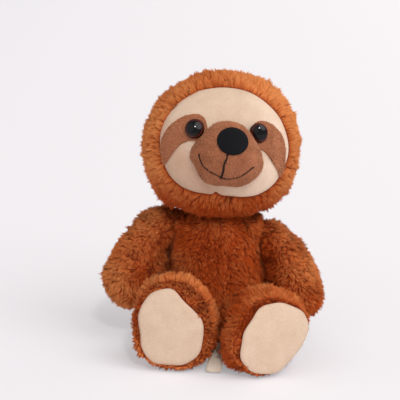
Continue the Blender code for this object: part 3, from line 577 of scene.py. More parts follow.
def limb_grid(shape, inset):
    """Rings of a limb along its own +Z, from the ball at its root to its tip."""
    round_it = circle(96)
    least, rate = shape.drawn_in
    draw = np.clip(least + rate * (round_it @ shape.inward), 0, 1)[:, None]
    rows = []
    for z, full, drawn in limb_profile(shape, inset):
        share = min(max(z / shape.swell, 0), 1)
        rise = shape.rise * (3 * share**2 - 2 * share**3)
        across = np.array(full) + (np.array(drawn) - np.array(full)) * draw
        across = across - shape.slim * share**2
        corner = power_of(round_it, 2 / (2 + (shape.squareness - 2) * share**2))
        place = limb_middle(shape, rise) + shape.slide * share**2 + across * corner
        rows.append(np.column_stack([place, np.full(len(place), z)]))
    return np.array(rows)


def limb_shape(label, part):
    """A limb's sizes, with its frame, whose +Z points along the limb."""
    if part == "arm":
        splay, forward = ARM_SPLAYS[label], ARM_FORWARDS[label]
        along = Vector((SIDES[label] * sin(splay), -sin(forward), -cos(splay))).normalized()
        own = dict(half=ARM_HALVES[label], length=ARM_LENGTHS[label], centre=SHOULDERS[label])
        shape = SimpleNamespace(**ARM, **own)
    else:
        along = Vector((sin(LEG_TURNS[label]), -cos(LEG_TURNS[label]), 0))
        shape = SimpleNamespace(
            **LEG, length=LEG_LENGTHS[label], rise=FOOT_RISES[label], twist=FOOT_TWISTS[label],
            slide=FOOT_SLIDES[label], slim=FOOT_SLIMS[label], centre=HIPS[label],
            puffs=PUFFS[label, "leg"] + SOLE_PUFFS[label],
        )
    turned = along.to_track_quat("Z", "Y")
    if shape.twist:
        turned = turned @ Matrix.Rotation(shape.twist, 3, "Z").to_quaternion()
    inward = turned.inverted() @ Vector((-SIDES[label], 0, 0))
    shape.inward = np.array(Vector((inward.x, inward.y)).normalized())
    shape.slide = np.array((turned.inverted() @ Vector(shape.slide))[:2])
    axes = turned.to_matrix()
    shape.turned = np.array(axes)
    shape.sole_shift = np.array((axes.inverted() @ Vector(SOLE_SHIFTS[label]))[:2])
    return shape


# Materials


def node_material(name):
    made = bpy.data.materials.new(name)
    made.use_nodes = True
    return made, made.node_tree, made.node_tree.nodes["Principled BSDF"]


def feed(tree, node, inputs):
    """Sets a node's inputs, each to a value, to an output or to a node's first output."""
    for key, value in inputs.items():
        if isinstance(value, bpy.types.Node):
            value = value.outputs[0]
        if isinstance(value, bpy.types.NodeSocket):
            tree.links.new(value, node.inputs[key])
        else:
            node.inputs[key].default_value = value


def add_node(tree, kind, inputs, **settings):
    node = tree.nodes.new("ShaderNode" + kind)
    for key, value in settings.items():
        setattr(node, key, value)
    feed(tree, node, inputs)
    return node


def ramp(tree, source, stops):
    """A colour ramp of (place, linear colour) stops."""
    node = add_node(tree, "ValToRGB", {"Fac": source})
    elements = node.color_ramp.elements
    while len(elements) < len(stops):
        elements.new(1)
    for element, (place, colour) in zip(elements, stops):
        element.position = place
        element.color = (*colour, 1)
    return node


def mixed(tree, share, one, two, blend="MIX"):
    inputs = {"Factor": share, "A": one, "B": two}
    node = add_node(tree, "Mix", inputs, data_type="RGBA", blend_type=blend)
    return node.outputs["Result"]


def pile_material(name, dark_stops, light_stops):
    """Pile: across the map it runs from root to tip, darker towards the root as painted shade deep
    in the pile, and up the map from dark to light tufts.
    """
    made, tree, shader = node_material(name)
    place = add_node(tree, "UVMap", {}, uv_map=UV_MAP)
    split = add_node(tree, "SeparateXYZ", {"Vector": place})
    dark, light = (ramp(tree, split.outputs["X"], stops) for stops in (dark_stops, light_stops))
    feed(tree, shader, {
        "Base Color": mixed(tree, split.outputs["Y"], dark, light), "Roughness": 0.8,
        "Specular IOR Level": 0.12, "Sheen Weight": 0.1, "Sheen Roughness": 0.45,
        "Sheen Tint": (1.0, 0.55, 0.30, 1),
    })
    return made


def cloth_material(name, colour, shade, spread, bump, sheen=0.3, painted_light_tints=()):
    """Short-pile cloth: a mottled colour over a fine nap, tinted along some directions as painted
    light and shade.
    """
    made, tree, shader = node_material(name)
    where = add_node(tree, "TexCoord", {}).outputs["Object"]
    broad = add_node(tree, "TexNoise", {"Vector": where, "Scale": 90.0, "Detail": 4.0})
    fine = add_node(tree, "TexNoise", {"Vector": where, "Scale": 900.0, "Detail": 3.0})
    half = add_node(tree, "Math", {0: broad, 1: 0.5}, operation="MULTIPLY")
    both = add_node(tree, "Math", {0: fine, 1: 0.5, 2: half}, operation="MULTIPLY_ADD")
    tone = ramp(tree, both, ((0.5 - spread, shade), (0.5 + spread, colour)))
    for way, low, high, stops in painted_light_tints:
        along = add_node(tree, "VectorMath", {0: where, 1: way}, operation="DOT_PRODUCT")
        reach = {"Value": along.outputs["Value"], "From Min": low, "From Max": high}
        tint = ramp(tree, add_node(tree, "MapRange", reach), stops)
        tone = mixed(tree, 1.0, tone, tint, "MULTIPLY")
    raised = add_node(tree, "Bump", {"Height": fine, "Strength": bump, "Distance": 0.0006})
    feed(tree, shader, {
        "Base Color": tone, "Normal": raised, "Roughness": 0.9, "Specular IOR Level": 0.2,
        "Sheen Weight": sheen, "Sheen Roughness": 0.5,
    })
    return made


def eye_material():
    """Glossy black with a brown ring near its edge; the map shows the eye from the front."""
    made, tree, shader = node_material("glossy_plastic")
    place = add_node(tree, "UVMap", {}, uv_map=UV_MAP)
    off = add_node(tree, "VectorMath", {0: place, 1: (0.5, 0.5, 0)}, operation="DISTANCE")
    black, brown, edge = (0.004, 0.004, 0.005), (0.075, 0.014, 0.011), (0.010, 0.004, 0.004)
    stops = ((0.0, black), (0.34, black), (0.37, brown), (0.405, brown), (0.43, edge))
    feed(tree, shader, {
        "Base Color": ramp(tree, off.outputs["Value"], stops), "Roughness": 0.3,
        "Specular IOR Level": 0.0, "Coat Weight": 0.5, "Coat Roughness": 0.02,
    })
    return made


def plain_material(name, colour, roughness):
    made, tree, shader = node_material(name)
    where = add_node(tree, "TexCoord", {}).outputs["Object"]
    noise = add_node(tree, "TexNoise", {"Vector": where, "Scale": 400.0, "Detail": 2.0})
    darker = tuple(0.8 * part for part in colour)
    feed(tree, shader, {
        "Base Color": ramp(tree, noise, ((0.35, darker), (0.65, colour))),
        "Roughness": roughness, "Specular IOR Level": 0.2,
    })
    return made


# Each pile's palettes darken towards the root: painted shade deep in the pile
FUR = pile_material(
    "long_pile_fur",
    ((0.0, (0.15, 0.015, 0.002)), (0.3, (0.31, 0.036, 0.003)), (0.6, (0.44, 0.057, 0.005)),
     (1.0, (0.55, 0.080, 0.008))),
    ((0.0, (0.36, 0.070, 0.016)), (0.3, (0.69, 0.18, 0.047)), (0.6, (0.85, 0.29, 0.084)),
     (1.0, (0.94, 0.41, 0.148))),
)
BROWN_PILE = pile_material(
    "brown_velboa",
    ((0.0, (0.22, 0.070, 0.030)), (0.5, (0.31, 0.105, 0.047)), (1.0, (0.38, 0.135, 0.064))),
    ((0.0, (0.46, 0.170, 0.085)), (0.5, (0.66, 0.275, 0.145)), (1.0, (0.80, 0.365, 0.205))),
)
VELBOA = cloth_material(
    "beige_velboa", (0.70, 0.535, 0.405), (0.60, 0.43, 0.31), 0.16, 0.5, 0.15
)
# Painted shade and light on the face panel: it is darker low on its right side, and lighter at its
# left edge
LOW_PAINTED_SHADE = (
    (0.0, (0.76, 0.69, 0.65)), (0.15, (0.78, 0.72, 0.68)), (0.6, (0.85, 0.73, 0.69)),
    (0.9, (1.0, 1.0, 1.0)),
)
EDGE_PAINTED_LIGHT = ((0.0, (0.833, 0.81, 0.78)), (1.0, (1.0, 1.0, 1.0)))
# The panel's own colour is lighter than the soles' velboa, and the painted shade takes most of it
# down again
FACE_VELBOA = cloth_material(
    "beige_velboa_face", (0.84, 0.66, 0.52), (0.72, 0.53, 0.40), 0.16, 0.5, 0.15,
    (((0.75, 0, 0.66), 0.065, 0.105, LOW_PAINTED_SHADE), ((1, 0, 0), 0.018, 0.043, EDGE_PAINTED_LIGHT)),
)
NOSE = cloth_material(
    "black_nose_fabric", (0.006, 0.006, 0.008), (0.003, 0.003, 0.004), 0.2, 0.5, 0.01
)
THREAD = plain_material("draw_thread", (0.022, 0.010, 0.008), 0.8)
NYLON = plain_material("nylon", (0.62, 0.63, 0.62), 0.35)
FIBRE = cloth_material("polyester_fibre", (0.88, 0.88, 0.86), (0.74, 0.74, 0.72), 0.2, 1.0)
PELLETS = cloth_material("pellet_bag", (0.66, 0.66, 0.64), (0.52, 0.52, 0.50), 0.2, 0.8)
RIBBON = cloth_material("satin_ribbon", (0.80, 0.69, 0.56), (0.70, 0.60, 0.48), 0.2, 0.3)


# Fur


def scattered(skin, spacing, rng):
    """Places spread evenly over a skin, one for each spacing of area: triangles and weights."""
    a, b, c = (skin.points[skin.triangles[:, k]] for k in range(3))
    area = lengths(np.cross(b - a, c - a)) / 2
    count = int(area.sum() / spacing)
    reached = np.cumsum(area)
    spot = (np.arange(count) + rng.random(count)) / count * reached[-1]
    index = np.minimum(np.searchsorted(reached, spot), len(area) - 1)
    u, v = rng.random(count), rng.random(count)
    flip = u + v > 1
    u[flip], v[flip] = 1 - u[flip], 1 - v[flip]
    return skin.triangles[index], np.stack([1 - u - v, u, v], axis=1)


def waves(points, size, rng, parts=3, count=7):
    """Smooth noise of about unit size over points, this many numbers at each."""
    made = np.zeros((len(points), parts))
    for _ in range(count):
        way = unit(rng.normal(size=3)) * 2 * pi / (size * rng.uniform(0.7, 1.5))
        phase = rng.uniform(0, 2 * pi, parts)
        made += np.sin((points @ way)[:, None] + phase)
    return made / sqrt(count / 2)


def nearest(centres, points):
    tree = KDTree(len(centres))
    for i, centre in enumerate(centres):
        tree.insert(centre, i)
    tree.balance()
    return np.array([tree.find(point)[1] for point in points])


class Skin:
    """The backing cloth of one piece: its points, triangles and normals."""

    def __init__(self, name, grid):
        self.name = name
        grid = grid.copy()
        grid[..., 2] = np.maximum(grid[..., 2], FLOOR_CLEARANCE)
        self.points, self.faces = grid_faces(grid)
        self.triangles = triangles_of(self.faces)
        self.normals = point_normals(self.points, self.triangles)
        self.tree = BVHTree.FromPolygons(self.points.tolist(), self.triangles.tolist())
        self.low, self.high = self.points.min(axis=0), self.points.max(axis=0)

    def beside(self, points, margin):
        """The indices of the points that are in this skin's box, or this near it."""
        return np.nonzero(
            ((points > self.low - margin) & (points < self.high + margin)).all(axis=1)
        )[0]

    def holds(self, point):
        """True if a point is inside this skin."""
        place, normal, _, _ = self.tree.find_nearest(point)
        return (Vector(point) - place).dot(normal) < 0


def along_surface(way, normals):
    return way - normals * (way * normals).sum(axis=1, keepdims=True)


def tufts(roots, tips, normals, widths, tones, sunk, rng):
    """Pointed three-sided locks: (points, triangles, uv, normals)."""
    n = len(roots)
    start = roots - normals * sunk
    along = unit(tips - start)
    side = unit(np.cross(along, normals) + LOCK_TURN * rng.normal(size=(n, 3)))
    side = unit(along_surface(side, along))
    rise = np.cross(side, along)
    half = (widths / 2)[:, None]
    rings = []
    for angle in (pi / 2, pi / 2 + 2 * pi / 3, pi / 2 + 4 * pi / 3):
        rings.append(start + half * (side * cos(angle) + rise * sin(angle)))
    points = np.stack([*rings, tips], axis=1).reshape(-1, 3)
    points[:, 2] = np.maximum(points[:, 2], FLOOR_CLEARANCE / 2)
    base = (np.arange(n) * 4)[:, None, None]
    faces = (base + np.array([(1, 0, 3), (2, 1, 3), (0, 2, 3)])[None]).reshape(-1, 3)
    tones = np.clip(tones[:, None] + np.array((-LOCK_TONE, LOCK_TONE, 0, 0)), 0, 1)
    uv = np.stack([np.tile((0.0, 0, 0, 1), (n, 1)), tones], axis=-1).reshape(-1, 2)
    slope = unit(np.cross(unit(np.cross(along, normals)), along))
    soft = unit(normals + SHADE_SLOPE * slope + SHADE_SPREAD * rng.normal(size=(n, 3)))
    return points, faces, uv, np.repeat(soft, 4, axis=0)


def fur_over(skin, comb, keep, others, look, seed):
    """Tufts of pile over a skin: roots, tips and shades, gathered in clumps."""
    look = SimpleNamespace(**look)
    rng = np.random.default_rng(seed)
    corner, weights = scattered(skin, look.area, rng)
    roots = (skin.points[corner] * weights[..., None]).sum(axis=1)
    normals = unit((skin.normals[corner] * weights[..., None]).sum(axis=1))
    kept = keep(roots, normals)
    roots, normals = roots[kept], normals[kept]
    clear = np.ones(len(roots), bool)
    for other in others:
        for i in other.beside(roots, 0):
            clear[i] = clear[i] and not other.holds(roots[i])
    roots, normals = roots[clear], normals[clear]
    n = len(roots)

    # Each clump leans its own way, and its tufts' tips draw together
    centres = rng.choice(n, max(int(n * look.area / look.clump), 1), replace=False)
    clump = nearest(roots[centres], roots)
    way = comb(roots, normals) * look.lean
    tousle = waves(roots, look.tousle_size, rng) * look.tousle
    clump_way = rng.normal(size=(len(centres), 3)) * look.clump_tousle
    own = rng.normal(size=(n, 3)) * look.own_tousle
    aim = unit(normals + way + tousle + clump_way[clump] + own)
    low = (aim * normals).sum(axis=1) < LEAST_RISE
    aim[low] = unit(aim[low] + 0.5 * normals[low])
    rolling = LENGTH_WAVES * waves(roots, LENGTH_WAVE_SIZE, rng, 1)[:, 0]
    length = look.length * (1 + rolling + LENGTH_SPREAD * rng.normal(size=n))
    clump_length = 1 + LENGTH_SPREAD * rng.normal(size=len(centres))
    length = np.maximum(length * clump_length[clump], LEAST_LENGTH * look.length)
    if look.trim:
        length *= look.trim(roots)

    # Pile stands up to fill a narrow gap beside a neighbouring piece, and never runs into it
    for other in others:
        by_head = "head" in (skin.name, other.name)
        reach = look.head_reach if by_head else look.reach
        for i in other.beside(roots, reach):
            near = other.tree.ray_cast(roots[i], normals[i], reach)
            if near[0] is not None:
                aim[i] = unit(GAP_LEAN * aim[i] + normals[i])
                length[i] = max(length[i], GAP_FILL * near[3])
            hit = other.tree.ray_cast(roots[i], aim[i], length[i] * LOOK_AHEAD)
            if hit[0] is not None:
                length[i] = min(length[i], MOST_OF_GAP * hit[3])
    clump_aim = unit(normals[centres] + way[centres] + tousle[centres] + clump_way)
    clump_tip = roots[centres][clump] + clump_aim[clump] * length[:, None]
    draw = look.draw * rng.uniform(0.6, 1.0, n)[:, None]
    tips = (roots + aim * length[:, None]) * (1 - draw) + clump_tip * draw
    widths = look.width * rng.uniform(0.75, 1.25, n)
    tones = (
        look.tone
        + TONE_WAVES * waves(roots, TONE_WAVE_SIZE, rng, 1)[:, 0]
        + TONE_SPREAD * rng.normal(size=len(centres))[clump]
        + look.mottle * rng.normal(size=n)
    )
    # look.shade adds painted light and shade to the tones, and on the eye patches only a mottle
    if look.shade:
        tones = tones + look.shade(roots, normals)
    return tufts(roots, tips, normals, widths, np.clip(tones, 0.02, 0.98), look.sunk, rng)


def furred(name, skin, cutters, nodes, body, pile, finish, tone):
    """One piece of backing cloth of this tone and its pile, which stands for its CAD cover."""
    backing = mesh_object(name + "_backing", skin.points, skin.faces, None)
    if cutters:
        cut_by(backing, cutters)
    points, faces = read_mesh(backing)
    bpy.data.objects.remove(backing, do_unlink=True)
    # The backing takes the colour near the pile's root: painted shade under the pile
    mottled = [0.1 * tone + 0.01 * np.sin(points[:, 0]), tone + 0.05 * np.sin(points[:, 2] / 3)]
    base_normals = point_normals(points, triangles_of(faces))
    hair_points, hair_faces, hair_uv, hair_normals = pile
    made = mesh_object(
        name, np.concatenate([points, hair_points]), faces, finish,
        np.concatenate([np.stack(mottled, axis=1), hair_uv]), loose=hair_faces + len(points),
        normals=np.concatenate([base_normals, hair_normals]),
    )
    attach(made, body)
    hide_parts(*nodes)


def solid_piece(name, grid, finish, body, nodes=(), uv=None):
    """A closed piece from its rings of points, with a map where uv gives each point's place."""
    if uv is not None:
        grid = np.concatenate([grid, uv], axis=-1)
    points, faces = grid_faces(grid)
    made = mesh_object(name, points[:, :3], faces, finish, None if uv is None else points[:, 3:])
    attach(made, body)
    if nodes:
        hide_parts(*nodes)
    return made


def away_from(points, centre, radius):
    return lengths(points - np.array(centre)) > radius


def off_floor(points, normals):
    """True where pile has room: above the floor, or not facing it."""
    return (points[:, 2] > FLOOR_MARGIN) | (normals[:, 2] > -0.5)


def head_comb(points, normals):
    """From the middle of the face outward, over the head to its back."""
    local = head_local(points)
    front = np.array((0.0, -HEAD_HALF[1], -4.0))
    way = unit(along_surface((local - front) @ HEAD_TURNED.T, normals))
    return way * np.clip(FLAT_COMB + off_face(local) / 12, 0, 1)[:, None]


def head_keep(points, normals):
    local = head_local(points)
    on_face = inside_outline(FACE_EDGE * FACE_OUTLINE, local[:, ::2]) & (local[:, 1] < 0)
    return ~on_face & away_from(points, NECK_PIVOT, NECK_RADIUS + 1)


# Painted shade: changes of tone over the right of the head's top, and under the head
TOP_PAINTED_SHADE, UNDER_PAINTED_SHADE = -0.3, -0.75


def head_painted_shade(roots, normals):
    """Painted shade: darker under the head, and a little over the right of its top."""
    places = head_local(roots)
    top = np.exp(-(((places[:, 0] + 22) / 24) ** 2)) * np.clip((places[:, 2] - 22) / 15, 0, 1)
    return TOP_PAINTED_SHADE * top + UNDER_PAINTED_SHADE * np.clip((-places[:, 2] - 22) / 28, 0, 1)


def body_comb(points, normals):
    """Down, and a little away from the middle."""
    way = np.zeros_like(points)
    way[:, 2] = -1
    way[:, 0] = 0.25 * np.sign(points[:, 0])
    return unit(along_surface(way, normals))


def body_keep(points, normals):
    kept = (points[:, 2] < NECK_PIVOT.z + NECK_PILE_RISE) & off_floor(points, normals)
    for centre, radius in SOCKETS:
        kept &= away_from(points, centre, radius - SOCKET_MARGIN)
    return kept


def sole_reach(shape, points):
    """1 on the sole's edge and less on the sole, and how far along the leg each point is.

    Each step comes closer to the place that the puffs pushed to this point.
    """
    flat = points
    for _ in range(UNPUFF_STEPS):
        flat = points + flat - puffed(flat, shape.puffs)
    local = to_local(flat, shape.centre, shape.turned)
    off = local[:, :2] - limb_middle(shape, shape.rise) - shape.sole_shift
    return (np.abs(off / SOLE_HALF) ** SOLE_SQUARENESS).sum(axis=1), local[:, 2]


def beside_sole(shape, points, normals):
    """True off the sole: outside its edge, back along the leg or round on its side."""
    reach, along = sole_reach(shape, points)
    ahead = normals @ shape.turned[:, 2]
    return (reach > SOLE_EDGE) | (along < shape.swell) | (ahead < 0.5)


def near_sole(shape, points, least, rate):
    """1 on the leg and off the sole, less beside the sole's edge, and never under this least."""
    reach, along = sole_reach(shape, points)
    return np.where(along > shape.swell, np.clip(least + rate * (reach - 1), least, 1), 1)


def leg_comb(shape):
    """Away from a point in front of the middle of the sole, over the rim and back."""
    front = np.array((*limb_middle(shape, shape.rise), shape.length + COMB_AHEAD))
    front = to_world(front, shape.centre, shape.turned)

    def comb(points, normals):
        way = unit(along_surface(points - front, normals))
        return way * near_sole(shape, points, FLAT_COMB, 2)[:, None]

    return comb


def arm_comb(shape):
    """Along the arm, and a little down."""
    axis = shape.turned @ np.array((0.0, 0.0, 1.0))

    def comb(points, normals):
        way = np.broadcast_to(axis, points.shape) + np.array((0, 0, -0.35))
        return unit(along_surface(way, normals))

    return comb


def limb_painted_light(way, strength):
    """Painted light and shade: lighter on the side of a limb that faces this way, darker on the
    other, darker at the spots in creases and lighter at the other spots.
    """

    def shade(roots, normals):
        made = strength * np.clip(normals @ unit(np.array(way, float)), -0.3, 1)
        for place, radius, change in PAINTED_SHADE_AND_LIGHT_SPOTS:
            off = lengths(roots - np.array(place))
            made = made + change * np.exp(-((off / radius) ** 2))
        return made

    return shade


FUR_LOOK = dict(
    area=0.46, clump=5.0, length=3.9, width=1.0, lean=0.9, tousle=0.35, tousle_size=14,
    clump_tousle=0.3, own_tousle=0.14, draw=0.5, tone=0.72, mottle=0.06, reach=8.0,
    head_reach=4.0, sunk=0.6, trim=None, shade=None,
)
HEAD_LOOK = {
    **FUR_LOOK, "shade": head_painted_shade, "area": 0.5, "clump": 7.0, "length": 5.0, "lean": 1.5,
    "tousle": 0.2, "trim": lambda roots: 1 - HEAD_TRIM * head_flat(roots),
}
VELBOA_LOOK = {
    **FUR_LOOK, "area": 0.26, "clump": 1.5, "length": 1.15, "width": 0.6, "lean": 1.3,
    "tousle_size": 9, "own_tousle": 0.2, "tone": 0.5, "mottle": 0.16, "sunk": 0.2,
}
# Each limb's tone, darker than the head's as painted shade, and the way that its lighter side
# faces and how strongly, as painted light
LIMB_PAINTED_LIGHT = {
    ("left", "arm"): (0.14, (1, -0.2, 0.7), 0.25),
    ("right", "arm"): (0.24, (-1, -0.1, 0.6), 0.25),
    ("left", "leg"): (0.1, (0, -0.2, 1), 0.3),
    ("right", "leg"): (0.28, (-0.2, -0.2, 1), 0.3),
}
# Places where the pile is darker, as painted shade in creases such as those of the right paw, and
# places where it is lighter, as painted light
PAINTED_SHADE_AND_LIGHT_SPOTS = (
    ((-76.8, -19, 46), 3.2, -1.2), ((-69, -20, 41.5), 3.2, -1.2), ((-36, -20, 112), 6, -0.6),
    ((-52, -12, 110), 18, 0.25), ((55, -12, 103), 16, 0.15), ((-76, -14, 46), 17, 0.45),
    ((78, -12, 74), 16, 0.12), ((20, -70, 49), 14, -0.45), ((38, -18, 94), 7, -0.5),
    ((38, -18, 76), 7, -0.5), ((39, -18, 58), 7, -0.4),
)
SOCKETS = [(SHOULDERS[label], ARM["root"]) for label in SIDES]
SOCKETS += [(HIPS[label], LEG["root"]) for label in SIDES]


def limb_skin(label, part, shape):
    """The backing of a limb; a foot's rim goes in to the sole's edge and closes behind the pad."""
    grid = limb_grid(shape, BACKING_INSET)
    puffs = PUFFS[label, part]
    if part == "leg":
        centre = grid[-1].mean(axis=0)
        back = centre + (grid[-1] - centre) * RIM_CLOSING
        back[:, 2] = shape.length - SOLE_THICKNESS - RIM_GAP
        grid = np.concatenate([grid, back[None], pole_of(back)])
        puffs += SKIN_PUFFS[label]
    return Skin(f"{label}_{part}", puffed(to_world(grid, shape.centre, shape.turned), puffs))


def limb_fill(label, part, shape):
    """The filling of a limb, which follows the same puffs as its skin."""
    grid = limb_grid(shape, BACKING_INSET + FILL_INSET)
    if part == "leg":
        grid = np.concatenate([grid, pole_of(grid[-1])])
        grid[..., 2] = np.minimum(grid[..., 2], shape.length - SOLE_THICKNESS - FILL_GAP)
    grid = puffed(to_world(grid, shape.centre, shape.turned), PUFFS[label, part])
    grid[..., 2] = np.maximum(grid[..., 2], FLOOR_CLEARANCE + FILL_LIFT)
    name = f"{label}_{part}"
    solid_piece(name + "_fill", grid, FIBRE, name, [name + "_stuffing"])


def long_fur(skin, cutters, body, comb, keep, look, seed):
    """The fur of one piece, which keeps clear of the other pieces."""
    others = [other for other in skins if other is not skin]
    pile = fur_over(skin, comb, keep, others, look, seed)
    furred(skin.name + "_fur", skin, cutters, [skin.name + "_fur_cover"], body, pile, FUR, 0.2)


def limb_fur(label, part, shape, skin, seed):
    # The limb's tone and its shading are painted light and shade
    tone, way, strength = LIMB_PAINTED_LIGHT[label, part]
    look = {**FUR_LOOK, "tone": tone, "shade": limb_painted_light(way, strength)}

    def leg_keep(points, normals):
        return off_floor(points, normals) & beside_sole(shape, points, normals)

    if part == "arm":
        long_fur(skin, [], skin.name, arm_comb(shape), off_floor, look, seed)
    else:
        look["trim"] = lambda roots: near_sole(shape, roots, 0.7, 0.8)
        long_fur(skin, [], skin.name, leg_comb(shape), leg_keep, look, seed)


head_skin = Skin("head", head_grid(BACKING_INSET))
body_skin = Skin("body", puffed(body_grid(BACKING_INSET), BODY_PUFFS))
shapes = {(label, part): limb_shape(label, part) for label in SIDES for part in ("arm", "leg")}
limb_skins = {key: limb_skin(*key, shape) for key, shape in shapes.items()}
skins = [head_skin, body_skin, *limb_skins.values()]

neck_ball = ball_object(NECK_PIVOT, NECK_RADIUS + BALL_GAP)
long_fur(head_skin, [neck_ball], "head", head_comb, head_keep, HEAD_LOOK, 11)
balls = [ball_object(centre, radius - BACKING_INSET + BALL_GAP) for centre, radius in SOCKETS]
# The torso's fur takes a much darker tone than the head's: painted shade under the head
torso_painted_shade_look = {**FUR_LOOK, "tone": 0.06}
long_fur(body_skin, balls, "torso", body_comb, body_keep, torso_painted_shade_look, 12)
for number, (key, skin) in enumerate(limb_skins.items()):
    limb_fur(*key, shapes[key], skin, 20 + number)
    limb_fill(*key, shapes[key])


# Face and nose


def face_rings(centre, reach, shares, depth):
    """Rings on the face: centre plus a share of reach, at the y that depth gives for each."""
    rows = []
    for share in shares:
        places = centre + reach * share
        rows.append(at_depth(places, depth(places, share)))
    return rows


def sheet_grid(outline, centre, front, inset, shares, back_shares):
    """Rings of a sewn sheet from its middle out over its edge, and in again at its back."""
    reach = outline - np.array(centre)
    rows = face_rings(centre, reach, shares, front)
    rows += face_rings(centre, reach, back_shares, lambda places, share: face_depth(places, inset))
    return head_world(np.array(rows))


# The face panel's edge rolls back from this share on, and its chin seam is raised below this z
ROLL_START, ROLL_WIDTH, ROLL_DEPTH = 0.93, 0.07, 1.1
CHIN_SEAM_X, CHIN_SEAM_TOP, CHIN_SEAM_HALF, CHIN_SEAM_HEIGHT = -4, -28, 1.3, 0.35


def panel_front(places, share):
    roll = ROLL_DEPTH * max(0, (share - ROLL_START) / ROLL_WIDTH) ** 2
    below = np.clip((CHIN_SEAM_TOP - places[:, 1]) / 5, 0, 1)
    seam = np.exp(-(((places[:, 0] - CHIN_SEAM_X) / CHIN_SEAM_HALF) ** 2)) * below
    return face_depth(places, FACE_INSET + roll) + CHIN_SEAM_HEIGHT * seam


def patch_front(places, share):
    lift = PATCH_WALL * sqrt(max(0, 1 - share**4))
    return face_depth(places, MUZZLE_BASE - 0.2 - lift * 0.8)


def muzzle_front(places, share):
    return face_depth(places, MUZZLE_BASE) - muzzle_lift(share)


def nose_front(places, share):
    lift = NOSE_RIM + (NOSE_THICKNESS - NOSE_RIM) * sqrt(1 - share**2)
    return muzzle_depth(places) - 0.3 - lift


def nose_back(places, share):
    return muzzle_depth(places) + 0.2


def short_pile(name, grid, keep, middle, nodes, seed, shade):
    """A piece of brown velboa on the face, combed away from its middle and a little down."""
    skin = Skin(name, grid)
    start = np.array((middle[0], -HEAD_HALF[1] - COMB_AHEAD, middle[1]))

    def comb(points, normals):
        way = unit(head_local(points) - start) + np.array((0, 0, -0.4))
        return unit(along_surface(way @ HEAD_TURNED.T, normals))

    pile = fur_over(skin, comb, keep, [], {**VELBOA_LOOK, "shade": shade}, seed)
    furred(name, skin, [], nodes, "head", pile, BROWN_PILE, 0.42)


def eye_place(side):
    return np.array((EYE_SIDE + side * EYE_SPREAD, EYE_RISE + side * EYE_SLANT))


def eye_patch(label, side):
    outline = smooth_loop([(side * x * PATCH_REACH, z * PATCH_TOP) for x, z in PATCH_SHARES], 72)
    outline = puffed(outline, PATCH_PUFFS[label])[::side]
    middle = (side * PATCH_MIDDLE[0], PATCH_MIDDLE[1])
    shares = (np.linspace(0, 1, 13), np.linspace(1, 0, 5))
    grid = sheet_grid(outline, middle, patch_front, MUZZLE_BASE + 0.4, *shares)

    def keep(points, normals):
        off = lengths(head_local(points)[:, ::2] - eye_place(side))
        return ((normals @ HEAD_TURNED)[:, 1] < -0.1) & (off > EYE_RADIUS - 0.6)

    def shade(roots, normals):
        return 0.04 * np.sin(roots[:, 0] / 3)

    name = f"{label}_patch_velboa"
    short_pile(name, grid, keep, (0, 20), [f"{label}_eye_patch"], 40 + side, shade)


# Threads of the mouth: places on the face, and how thick each is and the knot at its start
MOUTH_THREADS = {
    "middle": (
        ((-1.25, -8.5), (-1.6, -11.1), (-2.3, -14.9), (-3.2, -18.3), (-2.9, -21.7),
         (-3.2, -25.1), (-3.6, -28.3)),
        1.15, 0.1,
    ),
    "right": (
        ((-22.0, -11.4), (-21.4, -13.7), (-19.3, -18.0), (-16.9, -20.8), (-14.1, -22.8),
         (-11.3, -24.4), (-8.5, -25.3), (-6.2, -26.1), (-3.5, -27.4)),
        0.85, 0.7,
    ),
    "left": (
        ((-3.5, -27.5), (-0.1, -27.9), (3.2, -27.6), (6.9, -26.7), (10.5, -25.2),
         (13.3, -23.2), (15.9, -20.8), (18.1, -18.6), (20.2, -16.9)),
        0.75, 0.0,
    ),
}
THREAD_HALF, THREAD_POINTS = 0.7, 90
THREAD_LIFT, STITCH_LIFT = 0.15, 0.15
mouth_places = np.concatenate([open_curve(line, 120) for line, _, _ in MOUTH_THREADS.values()])


def muzzle_keep(points, normals):
    """True off the nose and the mouth, and not on the muzzle's back."""
    flat = head_local(points)[:, ::2]
    on_nose = (((flat - NOSE_CENTRE) / NOSE_HALF) ** 2).sum(axis=1) < 0.88
    near = np.array([lengths(mouth_places - place).min() for place in flat])
    return ((normals @ HEAD_TURNED)[:, 1] < 0.1) & ~on_nose & (near > THREAD_HALF)


def muzzle_painted_shade(roots, normals):
    """Painted shade: darker low on the right side."""
    places = head_local(roots)[:, ::2]
    off = lengths(places - np.array((-12.0, -17.0)))
    return -0.22 * np.exp(-((off / 11) ** 2)) + 0.05 * np.sin(places[:, 0] / 2.5)


def stitched_line(corners, half, knot):
    """Rings of a thread that lies on the muzzle along this line of places."""
    places = open_curve(corners, THREAD_POINTS)
    step = np.arange(THREAD_POINTS)
    depth = muzzle_depth(places) - THREAD_LIFT
    depth -= STITCH_LIFT * np.abs(np.sin(step * pi / 8))
    line = at_depth(places, depth)
    ahead = unit(np.gradient(line, axis=0))
    side = unit(np.cross(ahead, np.broadcast_to((0.0, -1.0, 0.0), line.shape)))
    out = unit(np.cross(side, ahead))
    across, up = circle(10).T[..., None]
    thick = half * np.clip(np.minimum(step, step[::-1]) / 2.0, 0, 1)
    thick = thick * (1 + knot * np.exp(-((step / 6) ** 2)) + 0.14 * np.sin(step * 0.9))
    return line[:, None] + thick[:, None, None] * (side[:, None] * across + out[:, None] * up)


shares = (np.linspace(0, 1, 41), np.linspace(1, 0, 14))
grid = sheet_grid(FACE_OUTLINE, (0, 0), panel_front, FACE_INSET + 1.5, *shares)
solid_piece("face_velboa", grid, FACE_VELBOA, "head", ["face_panel"])
for label, side in SIDES.items():
    eye_patch(label, side)

